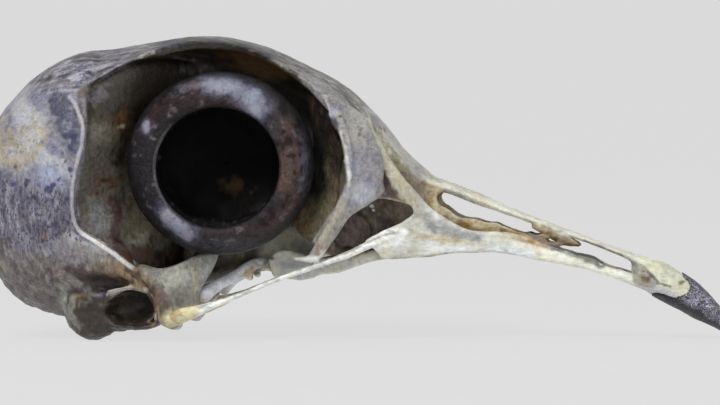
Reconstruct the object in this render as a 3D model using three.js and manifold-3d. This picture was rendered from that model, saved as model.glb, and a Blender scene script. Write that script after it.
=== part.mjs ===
// Skull of a rock dove, life-size, without its lower jaw, both scleral rings in place.
// Millimetres. +X runs forward along the bill, +Y to the bird's left, +Z up. The skull lies as it
// rests by itself: on the two ear bullae and on the tip of the bill, all at z = 0.
import * as THREE from "three";
import { mergeVertices } from "three/addons/utils/BufferGeometryUtils.js";
import Module from "manifold-3d";

const wasm = await Module();
wasm.setup();

// ---- Driving dimensions ----

const GAP = 0.3; // left between neighbouring bones
const SIDES = { right: -1, left: 1 };
const FAR = 40; // reach of a cutting block, past every part of the skull
const FINEST = 0.05; // slivers thinner than this are tidied away after cutting
const BAR_SIDES = 7;
const BAR_END = 0.4; // how far a bar's rounded end reaches, as a share of its half-thickness

// The braincase, round behind and squarer where it becomes the roof of the orbits.
const CASE = { x: -18.1, z: 10.1, back: 9.4, halfWidth: 9.0, above: 9.4, below: 10.1 };
const CASE_CROWN = 1.0; // how much higher the crown stands than the round of the back
const CASE_BASE_LIFT = 1.3; // the flat base of the skull over the table
const CASE_SQUARENESS = { back: 2.1, front: 2.7, below: 2.3 }; // 2 is an ellipse, more is boxier
const BACK_RINGS = { first: 8, step: 10 }; // degrees round the back of the head
// Forward of its widest place: x, crown, base, half-width, height of the widest place, squareness.
const CASE_FRONT = [
  [-18.1, 20.5, 1.3, 9.0, 10.1, 2.7],
  [-15.6, 20.9, 1.7, 8.7, 10.5, 3.6],
  [-13.2, 21.3, 2.8, 7.2, 11.6, 3.4],
  [-11.2, 21.3, 4.6, 4.6, 13.0, 2.6],
  [-10.2, 20.4, 7.0, 2.2, 14.0, 2.2],
];

const CASE_NOSE = 0.3; // the braincase ends this far past its last row, inside the orbits

// The thin roof over and between the orbits: x, crown, half-width, drop of the rim, rim thickness.
const ROOF = [
  [-16.4, 20.7, 6.9, 1.6, 1.2],
  [-14.4, 21.1, 6.7, 0.9, 0.7],
  [-12.1, 21.4, 5.9, 0.5, 0.6],
  [-9.3, 21.35, 5.4, 0.35, 0.6],
  [-6.3, 20.6, 5.5, 0.4, 0.65],
  [-3.7, 19.4, 6.0, 0.6, 0.8],
  [-1.6, 18.3, 6.5, 0.85, 1.0],
  [0.3, 16.9, 5.6, 1.0, 1.2],
  [1.9, 15.15, 3.9, 0.9, 1.2],
  [3.2, 13.5, 3.4, 0.7, 1.1],
  [4.5, 11.95, 2.9, 0.4, 0.8],
];
const ROOF_KEEL = 1.7; // extra depth of the roof along its middle, where the septum hangs
const ROOF_UNDERSIDE = 0.97; // width of the underside as a share of the top

const ORBIT = { x: -9.8, y: 9.0, z: 11.5, reach: [9.7, 8.7, 9.7] };
const ORBIT_FRONT = { x: -6.6, y: 7.2, z: 11.2, reach: [6.0, 6.8, 6.6] };

const SEPTUM_HALF = 0.35;
// Side view of the septum between the orbits, anticlockwise from the cranial base.
const SEPTUM = [
  [-13.6, 3.6],
  [-9.5, 4.6],
  [-5.0, 5.3],
  [-0.5, 6.6],
  [2.6, 8.3],
  [4.4, 10.2],
  [4.3, 11.6],
  [1.0, 15.6],
  [-4.0, 18.8],
  [-10.0, 20.6],
  [-12.5, 19.0],
];
const ROSTRUM = [
  [-14.2, 0, 3.7, 0.9, 1.6],
  [-11.5, 0, 4.2, 0.6, 0.85],
  [-8.5, 0, 4.85, 0.45, 0.55],
  [-4.5, 0, 5.5, 0.4, 0.45],
  [-0.5, 0, 6.7, 0.35, 0.4],
];
// The bony wall in front of each orbit, from the septum out to the lacrimal.
const ECTETHMOID = [
  [-0.2, 0.2, 11.8, 3.6, 0.8],
  [-0.9, 2.0, 10.8, 3.1, 0.8],
  [-1.5, 3.6, 9.6, 2.2, 0.7],
  [-2.4, 4.9, 8.0, 0.9, 0.5],
];

// The two rounded ear bullae, the funnels of bone in front of them and the ear openings.
const BULLA = { x: -18.3, y: 5.3, z: 2.2, reach: [2.5, 2.0, 2.4] };
const EAR_FUNNEL = { x: -15.6, y: 5.9, z: 3.0, reach: [2.6, 2.0, 2.0] };
const EAR_HOLE = { x: -14.6, y: 7.9, z: 2.5, reach: [1.1, 1.6, 1.1] };
// The ball that the neck turned on, and the opening for the spinal cord behind it.
const CONDYLE = { x: -20.1, y: 0, z: 1.2, reach: [0.8, 0.85, 0.8] };
const FORAMEN = { x: -22.5, y: 0, z: 1.3, reach: [1.8, 2.2, 1.6] };

// The cranium is parted under the roof of the orbits and along their rear wall, seen from the side.
const ROOF_PARTING = [
  [-17.0, 23.5],
  [-15.9, 20.2],
  [-14.0, 18.5],
  [-10.0, 18.3],
  [-6.0, 17.8],
  [-1.0, 15.6],
  [2.0, 12.4],
  [3.2, 11.0],
  [7.0, 9.0],
];
const CASE_PARTING = [
  [-12.0, 18.6],
  [-11.2, 12.0],
  [-13.4, 5.4],
  [-13.6, 0.0],
];

// ---- Bones as bars: rows of [x, y, z, half-height, half-thickness] along each branch ----
// y is the distance out from the middle plane, so that one list serves both sides.

const POSTORBITAL_LEDGE = [
  [-18.4, 8.0, 15.4, 0.3, 0.35],
  [-18.75, 8.25, 12.7, 0.4, 0.45],
  [-19.2, 8.35, 10.2, 0.45, 0.45],
  [-18.7, 8.3, 8.3, 0.45, 0.45],
  [-17.3, 8.1, 7.0, 0.45, 0.45],
  [-15.3, 7.7, 5.4, 0.3, 0.35],
];
const ZYGOMATIC_CREST = [
  [-17.4, 7.5, 5.6, 0.4, 0.5],
  [-15.6, 7.6, 4.5, 0.4, 0.5],
  [-14.0, 7.6, 3.6, 0.35, 0.4],
  [-13.4, 7.5, 2.4, 0.3, 0.35],
];

const PREMAXILLA = [
  [4.85, 0, 11.3, 0.45, 2.7],
  [6.7, 0, 10.6, 0.42, 2.1],
  [8.75, 0, 9.85, 0.46, 1.7],
  [11.7, 0, 8.65, 0.33, 1.35],
  [14.6, 0, 7.46, 0.34, 1.2],
  [17.6, 0, 6.4, 0.29, 1.1],
  [19.6, 0, 5.55, 0.38, 1.15],
];
const BILL_TIP = [
  [19.5, 0, 5.1, 0.7, 1.2],
  [21.0, 0, 4.3, 1.15, 1.5],
  [22.6, 0, 3.5, 1.15, 1.65],
  [24.3, 0, 2.5, 1.05, 1.45],
  [25.7, 0, 1.5, 0.7, 1.1],
  [26.7, 0, 0.6, 0.42, 0.75],
  [27.3, 0, 0.12, 0.25, 0.4],
];
// Where the horn sheath ends on the bony tip, from the top of the bill down and back.
const HORN_EDGE = [
  [23.0, 5.6],
  [23.4, 4.0],
  [23.1, 3.2],
  [22.3, 2.8],
  [20.4, 3.2],
  [19.6, 2.9],
];

const NASAL = [
  [1.1, 4.2, 15.4, 0.36, 0.36],
  [1.9, 4.1, 13.8, 0.34, 0.34],
  [2.65, 4.0, 12.15, 0.34, 0.34],
  [3.6, 3.9, 10.6, 0.42, 0.36],
  [4.7, 3.75, 9.4, 0.56, 0.38],
  [6.0, 3.5, 8.45, 0.6, 0.38],
  [7.4, 3.2, 7.8, 0.4, 0.36],
];
const MAXILLA = [
  [
    [3.1, 3.9, 6.95, 0.95, 0.4],
    [5.4, 3.6, 7.1, 1.15, 0.42],
    [8.2, 3.05, 6.95, 0.82, 0.45],
    [10.4, 2.65, 6.88, 0.74, 0.5],
    [12.9, 2.3, 6.33, 0.67, 0.5],
    [15.5, 2.0, 5.6, 0.42, 0.45],
    [18.3, 1.65, 4.7, 0.32, 0.42],
    [20.3, 1.2, 4.0, 0.4, 0.4],
  ],
  [
    [3.8, 3.8, 7.4, 0.7, 0.36],
    [4.7, 3.75, 8.3, 0.7, 0.36],
    [5.4, 3.65, 8.8, 0.4, 0.36],
  ],
];
const PALATINE = [
  [-6.4, 0.95, 4.75, 0.35, 0.3],
  [-5.2, 1.9, 4.65, 0.65, 0.4],
  [-3.8, 2.5, 4.75, 0.65, 0.55],
  [-1.4, 2.8, 5.3, 0.58, 0.75],
  [0.9, 2.8, 5.85, 0.45, 0.65],
  [2.8, 2.7, 6.12, 0.36, 0.5],
  [5.6, 2.5, 6.2, 0.32, 0.4],
];
const JUGAL = [
  [-12.0, 8.2, 1.75, 0.62, 0.45],
  [-10.8, 8.15, 2.15, 0.4, 0.35],
  [-9.9, 8.0, 2.45, 0.28, 0.3],
  [-7.3, 7.8, 3.47, 0.27, 0.27],
  [-5.4, 7.4, 4.25, 0.27, 0.27],
  [-2.0, 6.5, 5.4, 0.27, 0.27],
  [0.5, 5.5, 6.55, 0.28, 0.27],
  [2.9, 4.6, 7.3, 0.4, 0.3],
];
const LACRIMAL = [
  [
    [-1.2, 6.4, 17.1, 0.6, 0.5],
    [-0.5, 6.5, 15.4, 0.8, 0.45],
    [0.05, 6.4, 13.4, 0.85, 0.42],
    [0.2, 6.1, 11.4, 0.9, 0.42],
    [-0.4, 5.9, 9.6, 0.7, 0.42],
    [-1.2, 5.9, 7.9, 0.5, 0.4],
    [-2.4, 6.1, 6.25, 0.4, 0.35],
  ],
  [
    [0.0, 5.5, 15.9, 0.4, 0.4],
    [0.8, 5.2, 14.0, 0.8, 0.42],
    [1.25, 5.1, 12.3, 0.85, 0.42],
    [1.2, 5.3, 11.0, 0.95, 0.4],
    [0.6, 5.5, 10.0, 0.6, 0.35],
  ],
  [
    [-2.2, 6.1, 6.3, 0.3, 0.35],
    [-3.0, 6.1, 6.1, 0.32, 0.35],
    [-3.9, 6.0, 6.0, 0.26, 0.3],
  ],
];
const QUADRATE = [
  [
    [-14.4, 6.3, 5.0, 0.9, 0.5],
    [-13.5, 6.8, 4.2, 1.15, 0.55],
    [-12.8, 7.0, 3.0, 1.15, 0.65],
    [-12.4, 6.9, 1.9, 1.0, 0.75],
    [-12.2, 6.9, 1.2, 0.6, 0.6],
  ],
  [
    [-14.2, 6.7, 4.5, 0.9, 0.45],
    [-12.7, 6.6, 4.3, 1.1, 0.42],
    [-11.3, 6.2, 4.6, 1.1, 0.38],
    [-10.2, 5.7, 5.15, 0.75, 0.3],
    [-9.5, 5.4, 5.5, 0.4, 0.28],
  ],
  [
    [-12.1, 6.6, 2.3, 0.7, 0.5],
    [-11.2, 6.1, 2.2, 0.6, 0.5],
    [-10.6, 5.8, 1.7, 0.6, 0.45],
  ],
];
const PTERYGOID = [
  [
    [-10.3, 5.6, 3.3, 0.55, 0.45],
    [-9.3, 4.5, 3.95, 0.42, 0.4],
    [-8.2, 3.2, 4.55, 0.4, 0.38],
    [-7.1, 1.75, 5.1, 0.45, 0.4],
  ],
  [
    [-8.0, 2.8, 4.5, 0.3, 0.3],
    [-7.5, 2.3, 4.2, 0.3, 0.3],
  ],
];

// The ring of bony plates in the eye, a low cone round the bird's line of sight.
const RING = { x: -9.1, z: 12.5, outer: 6.42, aperture: 4.2, backY: 6.3, frontY: 8.7 };
const RING_EDGE = 0.15; // the outer rim stands this far over the back face
const RING_LIP = 0.4; // width of the rim round the pupil's opening
const RING_BULGE = [0.56, 0.26]; // the cone bends out and in by this much at mid-width
const RING_WIDER = 1.03; // the ring is a little longer fore and aft than it is high
// The shrunken eyeball behind it, an open cup on a stalk that reaches the septum.
const EYE = { mouth: 5.7, mouthY: 6.0, floorY: 3.1, wall: 0.6, hollow: 0.8, stalk: 0.9, stalkY: 0.7 };

// ---- Materials ----

const BONE = matte(0xd8d2c4, 0.62);
const STAINED_BONE = matte(0x9a8f86, 0.66);
const RING_BONE = matte(0x6d6063, 0.6);
const HORN = matte(0x3a3038, 0.42);
const DRIED_TISSUE = matte(0x1c1614, 0.7);

function matte(color, roughness) {
  return new THREE.MeshStandardMaterial({ color, roughness, metalness: 0 });
}

// ---- Solids ----

function solidOf(geometry) {
  const bare = geometry.clone();
  bare.deleteAttribute("normal");
  bare.deleteAttribute("uv");
  const merged = mergeVertices(bare, 1e-4);
  const vertProperties = merged.attributes.position.array;
  const triVerts = new Uint32Array(merged.index.array);
  const make = () => new wasm.Manifold(new wasm.Mesh({ numProp: 3, vertProperties, triVerts }));
  const made = make();
  if (made.volume() > 0) {
    return made;
  }
  triVerts.reverse();
  return make();
}

function union(solids) {
  return solids.reduce((all, one) => all.add(one));
}

function largestBody(solid) {
  return solid.decompose().reduce((best, body) => (body.volume() > best.volume() ? body : best));
}

// A closed skin over rings of points, one ring after another, with a point closing each end.
function skinOver(rings, firstPoint, lastPoint) {
  const count = rings[0].length;
  const points = [...rings.flat(), firstPoint, lastPoint];
  const first = points.length - 2;
  const last = points.length - 1;
  const faces = [];
  for (let j = 0; j < count; j++) {
    const k = (j + 1) % count;
    const end = (rings.length - 1) * count;
    faces.push(first, k, j);
    faces.push(last, end + j, end + k);
    for (let i = 0; i < rings.length - 1; i++) {
      const a = i * count;
      const b = a + count;
      faces.push(a + j, a + k, b + j);
      faces.push(b + j, a + k, b + k);
    }
  }
  const geometry = new THREE.BufferGeometry().setFromPoints(points);
  geometry.setIndex(faces);
  return geometry;
}

function centreOf(points) {
  const sum = new THREE.Vector3();
  for (const point of points) {
    sum.add(point);
  }
  return sum.divideScalar(points.length);
}

// Rows of numbers read as smooth functions of 0..1 along the list.
function smoothRows(rows) {
  const columns = rows[0].map((_, c) => rows.map((row) => row[c]));
  const curves = columns.map(
    (column) => new THREE.SplineCurve(column.map((value, i) => new THREE.Vector2(i, value))),
  );
  return (t) => curves.map((curve) => curve.getPoint(t).y);
}

// A bar of oval section along a smooth path, its thickness measured across the skull.
function bar(stations, side, grow = 0) {
  const at = smoothRows(stations);
  const steps = stations.length + 1;
  const place = (t) => {
    const [x, y, z] = at(t);
    return new THREE.Vector3(x, side * y, z);
  };
  const heading = (t) => place(Math.min(1, t + 0.01)).sub(place(Math.max(0, t - 0.01))).normalize();
  const rings = [];
  for (let i = 0; i <= steps; i++) {
    const t = i / steps;
    const [, , , high, thick] = at(t);
    const across = new THREE.Vector3(0, 1, 0).projectOnPlane(heading(t)).normalize();
    const up = new THREE.Vector3().crossVectors(across, heading(t));
    const ring = [];
    for (let j = 0; j < BAR_SIDES; j++) {
      const angle = Math.PI / 2 + (2 * Math.PI * j) / BAR_SIDES; // the first corner on top
      const point = place(t);
      point.addScaledVector(up, (high + grow) * Math.sin(angle));
      point.addScaledVector(across, (thick + grow) * Math.cos(angle));
      ring.push(point);
    }
    rings.push(ring);
  }
  const cap = (t, way) => {
    const [, , , , thick] = at(t);
    return place(t).addScaledVector(heading(t), way * (BAR_END * thick + grow));
  };
  return solidOf(skinOver(rings, cap(0, -1), cap(1, 1)));
}

function bars(branches, side, grow = 0) {
  return union(branches.map((stations) => bar(stations, side, grow)));
}

function ellipsoid({ x, y, z, reach }, side = 1, around = 10) {
  const geometry = new THREE.SphereGeometry(1, around, Math.round(around * 0.6));
  geometry.scale(...reach).translate(x, side * y, z);
  return solidOf(geometry);
}

// A side-view outline pushed out to the same distance on both sides of the middle plane.
function plate(outline, halfThickness) {
  const shape = new THREE.Shape(outline.map(([x, z]) => new THREE.Vector2(x, z)));
  const geometry = new THREE.ExtrudeGeometry(shape, { depth: 2 * halfThickness, bevelEnabled: false });
  geometry.rotateX(Math.PI / 2).translate(0, halfThickness, 0);
  return solidOf(geometry);
}

// A cut as wide as the gap between bones, along a line seen from the side.
function partingCut(line) {
  const path = new THREE.SplineCurve(line.map(([x, z]) => new THREE.Vector2(x, z)));
  const steps = line.length * 2;
  const edges = [[], []];
  for (let i = 0; i <= steps; i++) {
    const point = path.getPoint(i / steps);
    const along = path.getTangent(i / steps);
    edges[0].push([point.x - (along.y * GAP) / 2, point.y + (along.x * GAP) / 2]);
    edges[1].unshift([point.x + (along.y * GAP) / 2, point.y - (along.x * GAP) / 2]);
  }
  return plate([...edges[0], ...edges[1]], FAR);
}

function blockBelowTable() {
  const geometry = new THREE.BoxGeometry(2 * FAR, 2 * FAR, FAR);
  geometry.translate(0, 0, -FAR / 2);
  return solidOf(geometry);
}

// ---- Cranium ----

// One cross-section of the braincase, a rounded square whose lower half stays rounder.
function caseRing(x, crown, base, halfWidth, widest, squareness, around = 24) {
  const ring = [];
  for (let j = 0; j < around; j++) {
    const angle = (2 * Math.PI * j) / around;
    const [c, s] = [Math.cos(angle), Math.sin(angle)];
    const power = 2 / (s > 0 ? squareness : Math.min(squareness, CASE_SQUARENESS.below));
    const y = halfWidth * Math.sign(c) * Math.abs(c) ** power;
    const rise = Math.sign(s) * Math.abs(s) ** power;
    ring.push(new THREE.Vector3(x, y, widest + rise * (s > 0 ? crown - widest : widest - base)));
  }
  return ring;
}

function caseSolid() {
  const rings = [];
  for (let degrees = BACK_RINGS.first; degrees < 90; degrees += BACK_RINGS.step) {
    const turn = THREE.MathUtils.degToRad(degrees);
    const swell = Math.sin(turn);
    const crown = CASE.z + CASE.above * swell + CASE_CROWN * swell ** 4;
    const base = CASE.z - CASE.below * swell + CASE_BASE_LIFT * swell ** 8;
    const squareness = THREE.MathUtils.lerp(CASE_SQUARENESS.back, CASE_SQUARENESS.front, swell ** 3);
    const x = CASE.x - CASE.back * Math.cos(turn);
    rings.push(caseRing(x, crown, base, CASE.halfWidth * swell, CASE.z, squareness));
  }
  const front = smoothRows(CASE_FRONT);
  const steps = 8;
  for (let i = 0; i <= steps; i++) {
    rings.push(caseRing(...front(i / steps)));
  }
  const [x, crown, base] = CASE_FRONT.at(-1);
  const back = new THREE.Vector3(CASE.x - CASE.back, 0, CASE.z);
  const nose = new THREE.Vector3(x + CASE_NOSE, 0, (crown + base) / 2);
  return solidOf(skinOver(rings, back, nose));
}

// One cross-section of the roof: a shallow vault, keeled below along the middle.
function roofRing(x, crown, halfWidth, drop, rim) {
  const across = 6;
  const top = [];
  const under = [];
  for (let j = 0; j <= across; j++) {
    const share = (2 * j) / across - 1;
    const z = crown - drop * Math.abs(share) ** 2.5;
    const depth = rim + ROOF_KEEL * (1 - Math.abs(share)) ** 2;
    top.push(new THREE.Vector3(x, halfWidth * share, z));
    under.unshift(new THREE.Vector3(x, halfWidth * share * ROOF_UNDERSIDE, z - depth));
  }
  return [...top, ...under];
}

function roofSolid() {
  const at = smoothRows(ROOF);
  const steps = 16;
  const rings = [];
  for (let i = 0; i <= steps; i++) {
    rings.push(roofRing(...at(i / steps)));
  }
  return solidOf(skinOver(rings, centreOf(rings[0]), centreOf(rings.at(-1))));
}

function craniumWhole() {
  const solids = [caseSolid(), roofSolid(), plate(SEPTUM, SEPTUM_HALF), bar(ROSTRUM, 1)];
  const hollows = [ellipsoid(FORAMEN)];
  for (const side of Object.values(SIDES)) {
    hollows.push(ellipsoid(ORBIT, side, 20), ellipsoid(ORBIT_FRONT, side, 14));
  }
  let cranium = union(solids).subtract(union(hollows));
  // Thin bone inside the orbits goes on after the orbits are hollowed.
  cranium = cranium.add(plate(SEPTUM, SEPTUM_HALF)).add(ellipsoid(CONDYLE));
  for (const side of Object.values(SIDES)) {
    cranium = union([
      cranium,
      bar(ECTETHMOID, side),
      bar(POSTORBITAL_LEDGE, side),
      bar(ZYGOMATIC_CREST, side),
      ellipsoid(BULLA, side),
      ellipsoid(EAR_FUNNEL, side),
    ]).subtract(ellipsoid(EAR_HOLE, side));
  }
  return cranium;
}

// ---- Eyes ----

// A ring or cup turned about the line through both eyes.
function turned(profile, side, around) {
  const geometry = new THREE.LatheGeometry(profile.map(([r, y]) => new THREE.Vector2(r, y)), around);
  geometry.scale(RING_WIDER, side, 1).translate(RING.x, 0, RING.z);
  return solidOf(geometry);
}

function scleralRing(side) {
  const { outer, aperture, backY, frontY } = RING;
  const middle = (outer + aperture) / 2;
  const halfway = (backY + frontY) / 2;
  const profile = [
    [outer, backY + RING_EDGE],
    [middle + RING_LIP, halfway + RING_BULGE[0]],
    [aperture + RING_LIP, frontY],
    [aperture, frontY - RING_LIP],
    [middle, halfway - RING_BULGE[1]],
    [outer - RING_LIP, backY],
    [outer, backY + RING_EDGE],
  ];
  return turned(profile, side, 28);
}

function driedEye(side) {
  const { mouth, mouthY, floorY, wall, hollow, stalk, stalkY } = EYE;
  const steps = 3;
  const outside = [];
  const inside = [];
  for (let i = 0; i <= steps; i++) {
    const turn = (Math.PI / 2) * (i / steps);
    const depth = (mouthY - floorY) * Math.cos(turn);
    outside.push([Math.max(stalk, mouth * Math.sin(turn)), mouthY - depth]);
    inside.unshift([(mouth - wall) * Math.sin(turn), mouthY - depth * hollow]);
  }
  return turned([[0, stalkY], [stalk, stalkY], ...outside, ...inside], side, 20);
}

// ---- The skull, bone by bone ----

const group = new THREE.Group();
const table = blockBelowTable();
const made = [];

// Adds a node. `room` is the same piece grown by the gap, which later neighbours are cut by.
function addBone(name, solid, material, room) {
  const cut = made.reduce((left, other) => left.subtract(other), solid);
  const body = largestBody(cut.subtract(table));
  if (room) {
    made.push(room);
  }
  addMesh(name, body, material);
}

function addMesh(name, solid, material) {
  const { vertProperties, triVerts } = solid.simplify(FINEST).getMesh();
  const geometry = new THREE.BufferGeometry();
  geometry.setAttribute("position", new THREE.BufferAttribute(vertProperties, 3));
  geometry.setIndex(new THREE.BufferAttribute(triVerts, 1));
  geometry.computeVertexNormals();
  const mesh = new THREE.Mesh(geometry, material);
  mesh.name = name;
  group.add(mesh);
}

for (const [name, side] of Object.entries(SIDES)) {
  addMesh("scleral_ring_" + name, scleralRing(side), RING_BONE);
  addMesh("dried_eye_" + name, driedEye(side), DRIED_TISSUE);
}

// The bill's tip is one bone with its horn sheath on it, parted where the sheath ends.
const billTip = bar(BILL_TIP, 1);
const [bonyTip, hornTip] = billTip
  .subtract(table)
  .subtract(partingCut(HORN_EDGE))
  .decompose()
  .sort((a, b) => a.boundingBox().max[0] - b.boundingBox().max[0]);
addMesh("bill_horn_tip", hornTip, HORN);
addMesh("premaxilla", bonyTip.add(bar(PREMAXILLA, 1)).subtract(partingCut(HORN_EDGE)), BONE);
made.push(bar(BILL_TIP, 1, GAP), bar(PREMAXILLA, 1, GAP));

const PAIRED_BONES = {
  jugal: [JUGAL],
  quadrate: QUADRATE,
  maxilla: MAXILLA,
  nasal: [NASAL],
  lacrimal: LACRIMAL,
  pterygoid: PTERYGOID,
  palatine: [PALATINE],
};
for (const [bone, branches] of Object.entries(PAIRED_BONES)) {
  for (const [name, side] of Object.entries(SIDES)) {
    addBone(bone + "_" + name, bars(branches, side), BONE, bars(branches, side, GAP));
  }
}

// The cranium is modelled whole, then parted.
let cranium = craniumWhole().subtract(table);
for (const other of made) {
  cranium = cranium.subtract(other);
}
// Chips that the cuts leave beside the ears are dropped.
const [braincase, ...others] = cranium
  .subtract(partingCut(ROOF_PARTING))
  .subtract(partingCut(CASE_PARTING))
  .decompose()
  .sort((a, b) => b.volume() - a.volume());
const topOf = (piece) => piece.boundingBox().max[2];
const [frontalRoof, septum] = others.slice(0, 2).sort((a, b) => topOf(b) - topOf(a));
addMesh("braincase", braincase, STAINED_BONE);
addMesh("frontal_roof", frontalRoof, BONE);
addMesh("interorbital_septum", septum, BONE);

export default group;
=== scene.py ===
"""Looks of a dry bird skull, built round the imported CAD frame.

Shapes are worked out in millimetres as signed distances on a grid over one half of the skull,
mirrored, skinned and scaled to metres. x runs forward, y out from the middle plane, z up.
"""

import math

import bpy
import numpy as np
import openvdb as vdb
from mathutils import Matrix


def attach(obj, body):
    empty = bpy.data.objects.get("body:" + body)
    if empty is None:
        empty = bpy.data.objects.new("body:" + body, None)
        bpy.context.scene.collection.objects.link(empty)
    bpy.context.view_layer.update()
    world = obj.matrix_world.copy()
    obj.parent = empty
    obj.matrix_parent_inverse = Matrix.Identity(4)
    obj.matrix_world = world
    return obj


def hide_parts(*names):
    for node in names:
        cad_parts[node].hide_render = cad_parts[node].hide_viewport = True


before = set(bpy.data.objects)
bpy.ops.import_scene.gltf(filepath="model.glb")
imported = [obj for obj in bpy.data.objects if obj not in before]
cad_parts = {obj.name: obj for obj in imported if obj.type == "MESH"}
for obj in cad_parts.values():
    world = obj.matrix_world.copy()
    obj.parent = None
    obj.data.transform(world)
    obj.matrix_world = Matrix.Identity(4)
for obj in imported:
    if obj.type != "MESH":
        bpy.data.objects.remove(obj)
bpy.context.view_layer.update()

MM = 0.001
BONE_STEP = 0.1
SMALL_STEP = 0.07
FAR = 1.5  # distances are cut off here, in mm
SEED = 7
# What each use of noise adds to the seed, so that no two patterns are alike.
NOISE = dict(bones=20, ring=40, folds=51, torn=52, eye=60, skull_relief=70, horn_relief=75, edge=80, horn=90)


# ---- Distance fields ----


def smooth_min(a, b, blend):
    """The smaller of two distances, with a fillet where they meet."""
    low = np.minimum(a, b)
    near = np.maximum(blend - np.abs(a - b), 0) / blend
    return low - np.where(low < FAR / 2, near * near * blend / 4, 0)


class Field:
    """Signed distances on a grid, negative inside the bone."""

    def __init__(self, low, high, step):
        self.step = step
        self.low = np.array(low, float)
        self.count = np.ceil((np.array(high) - self.low) / step).astype(int)
        self.d = np.full(self.count, FAR, np.float32)

    def whole(self):
        """The window that holds every point of the grid."""
        return tuple(slice(0, int(n)) for n in self.count)

    def window(self, low, high):
        """The slices of the grid between two corners in mm."""
        first = np.clip(np.floor((np.array(low) - self.low) / self.step), 0, self.count)
        last = np.clip(np.ceil((np.array(high) - self.low) / self.step) + 1, 0, self.count)
        return tuple(slice(int(a), int(b)) for a, b in zip(first, last))

    def axes(self, window):
        """The x, y and z of the window's points, shaped so that they broadcast."""
        lines = [
            (low + self.step * (np.arange(w.start, w.stop) + 0.5)).astype(np.float32)
            for low, w in zip(self.low, window)
        ]
        return np.ix_(*lines)

    def join(self, shape, blend):
        window, d = shape
        self.d[window] = smooth_min(self.d[window], d, blend)

    def carve(self, shape, blend):
        window, d = shape
        self.d[window] = -smooth_min(-self.d[window], d, blend)

    def meet(self, shape, blend):
        """Keeps only what lies inside the shape too."""
        window, d = shape
        kept = -smooth_min(-self.d[window], -d, blend)
        self.d[:] = FAR
        self.d[window] = kept


def smooth_rows(rows, per, closed=False):
    """A Catmull-Rom curve through rows of numbers, `per` steps from each row to the next."""
    rows = np.array(rows, float)
    if closed:
        padded = np.vstack([rows[-1], rows, rows[:2]])
    else:
        padded = np.vstack([rows[0], rows, rows[-1]])
    t = np.linspace(0, 1, per, endpoint=False)[:, None]
    out = []
    for a, b, c, d in zip(padded, padded[1:], padded[2:], padded[3:]):
        start, end = (c - a) / 2, (d - b) / 2
        out.append(
            (2 * b - 2 * c + start + end) * t**3
            + (-3 * b + 3 * c - 2 * start - end) * t**2
            + start * t
            + b
        )
    if not closed:
        out.append(rows[-1:])
    return np.vstack(out)


def oval_distance(offsets, reaches):
    """About the distance to an ellipsoid, from offsets along its axes and its reach on each."""
    near = np.sqrt(sum((offset / reach) ** 2 for offset, reach in zip(offsets, reaches)))
    steep = np.sqrt(sum((offset / reach**2) ** 2 for offset, reach in zip(offsets, reaches)))
    return near * (near - 1) / (steep + 1e-6)


def bar(field, rows, per=5):
    """A bar of oval section with round ends: rows are x, y, z, half-height, half-thickness."""
    stations = smooth_rows(rows, per)
    reach = stations[:, 3:5].max() + FAR
    window = field.window(stations[:, :3].min(0) - reach, stations[:, :3].max(0) + reach)
    out = np.full([w.stop - w.start for w in window], FAR, np.float32)
    for a, b in zip(stations, stations[1:]):
        length = np.linalg.norm(b[:3] - a[:3])
        ahead = (b[:3] - a[:3]) / length
        across = np.array([0, 1, 0]) - ahead[1] * ahead
        across /= np.linalg.norm(across)
        up = np.cross(across, ahead)
        up *= 1 if up[2] >= 0 else -1
        near = max(a[3:5].max(), b[3:5].max()) + FAR
        part = field.window(np.minimum(a[:3], b[:3]) - near, np.maximum(a[:3], b[:3]) + near)
        x, y, z = field.axes(part)
        x, y, z = x - a[0], y - a[1], z - a[2]
        along = x * ahead[0] + y * ahead[1] + z * ahead[2]
        t = np.clip(along / length, 0, 1)
        over = along - t * length
        u = x * across[0] + y * across[1] + z * across[2]
        v = x * up[0] + y * up[1] + z * up[2]
        high = a[3] + t * (b[3] - a[3])
        thick = a[4] + t * (b[4] - a[4])
        d = oval_distance((v, u, over), (high, thick, np.minimum(high, thick)))
        local = tuple(slice(p.start - w.start, p.stop - w.start) for p, w in zip(part, window))
        out[local] = np.minimum(out[local], d)
    return window, np.clip(out, -FAR, FAR)


def blob(field, centre, reach, lean=0.0):
    """An ellipsoid, leaned forward about the y axis by `lean` degrees."""
    centre, reach = np.array(centre, float), np.array(reach, float)
    most = reach.max() + FAR
    window = field.window(centre - most, centre + most)
    x, y, z = field.axes(window)
    x, y, z = x - centre[0], y - centre[1], z - centre[2]
    turn = math.radians(lean)
    x, z = x * math.cos(turn) - z * math.sin(turn), x * math.sin(turn) + z * math.cos(turn)
    return window, np.clip(oval_distance((x, y, z), reach), -FAR, FAR)


def surface(points):
    """y as the smoothest function of x and z that passes through points of x, z, y."""
    points = np.array(points, float)
    if len(points) == 1:
        return lambda x, z: np.full(np.broadcast(x, z).shape, points[0, -1])
    xz, y = points[:, :2], points[:, 2]

    def kernel(r2):
        return 0.5 * r2 * np.log(r2 + 1e-9)

    gaps = ((xz[:, None] - xz[None]) ** 2).sum(-1)
    poly = np.hstack([np.ones((len(xz), 1)), xz])
    system = np.block([[kernel(gaps), poly], [poly.T, np.zeros((3, 3))]])
    solved = np.linalg.solve(system, np.concatenate([y, np.zeros(3)]))

    def height(x, z):
        total = solved[-3] + solved[-2] * x + solved[-1] * z
        for (px, pz), weight in zip(xz, solved):
            total = total + weight * kernel((x - px) ** 2 + (z - pz) ** 2)
        return total

    return height


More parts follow.
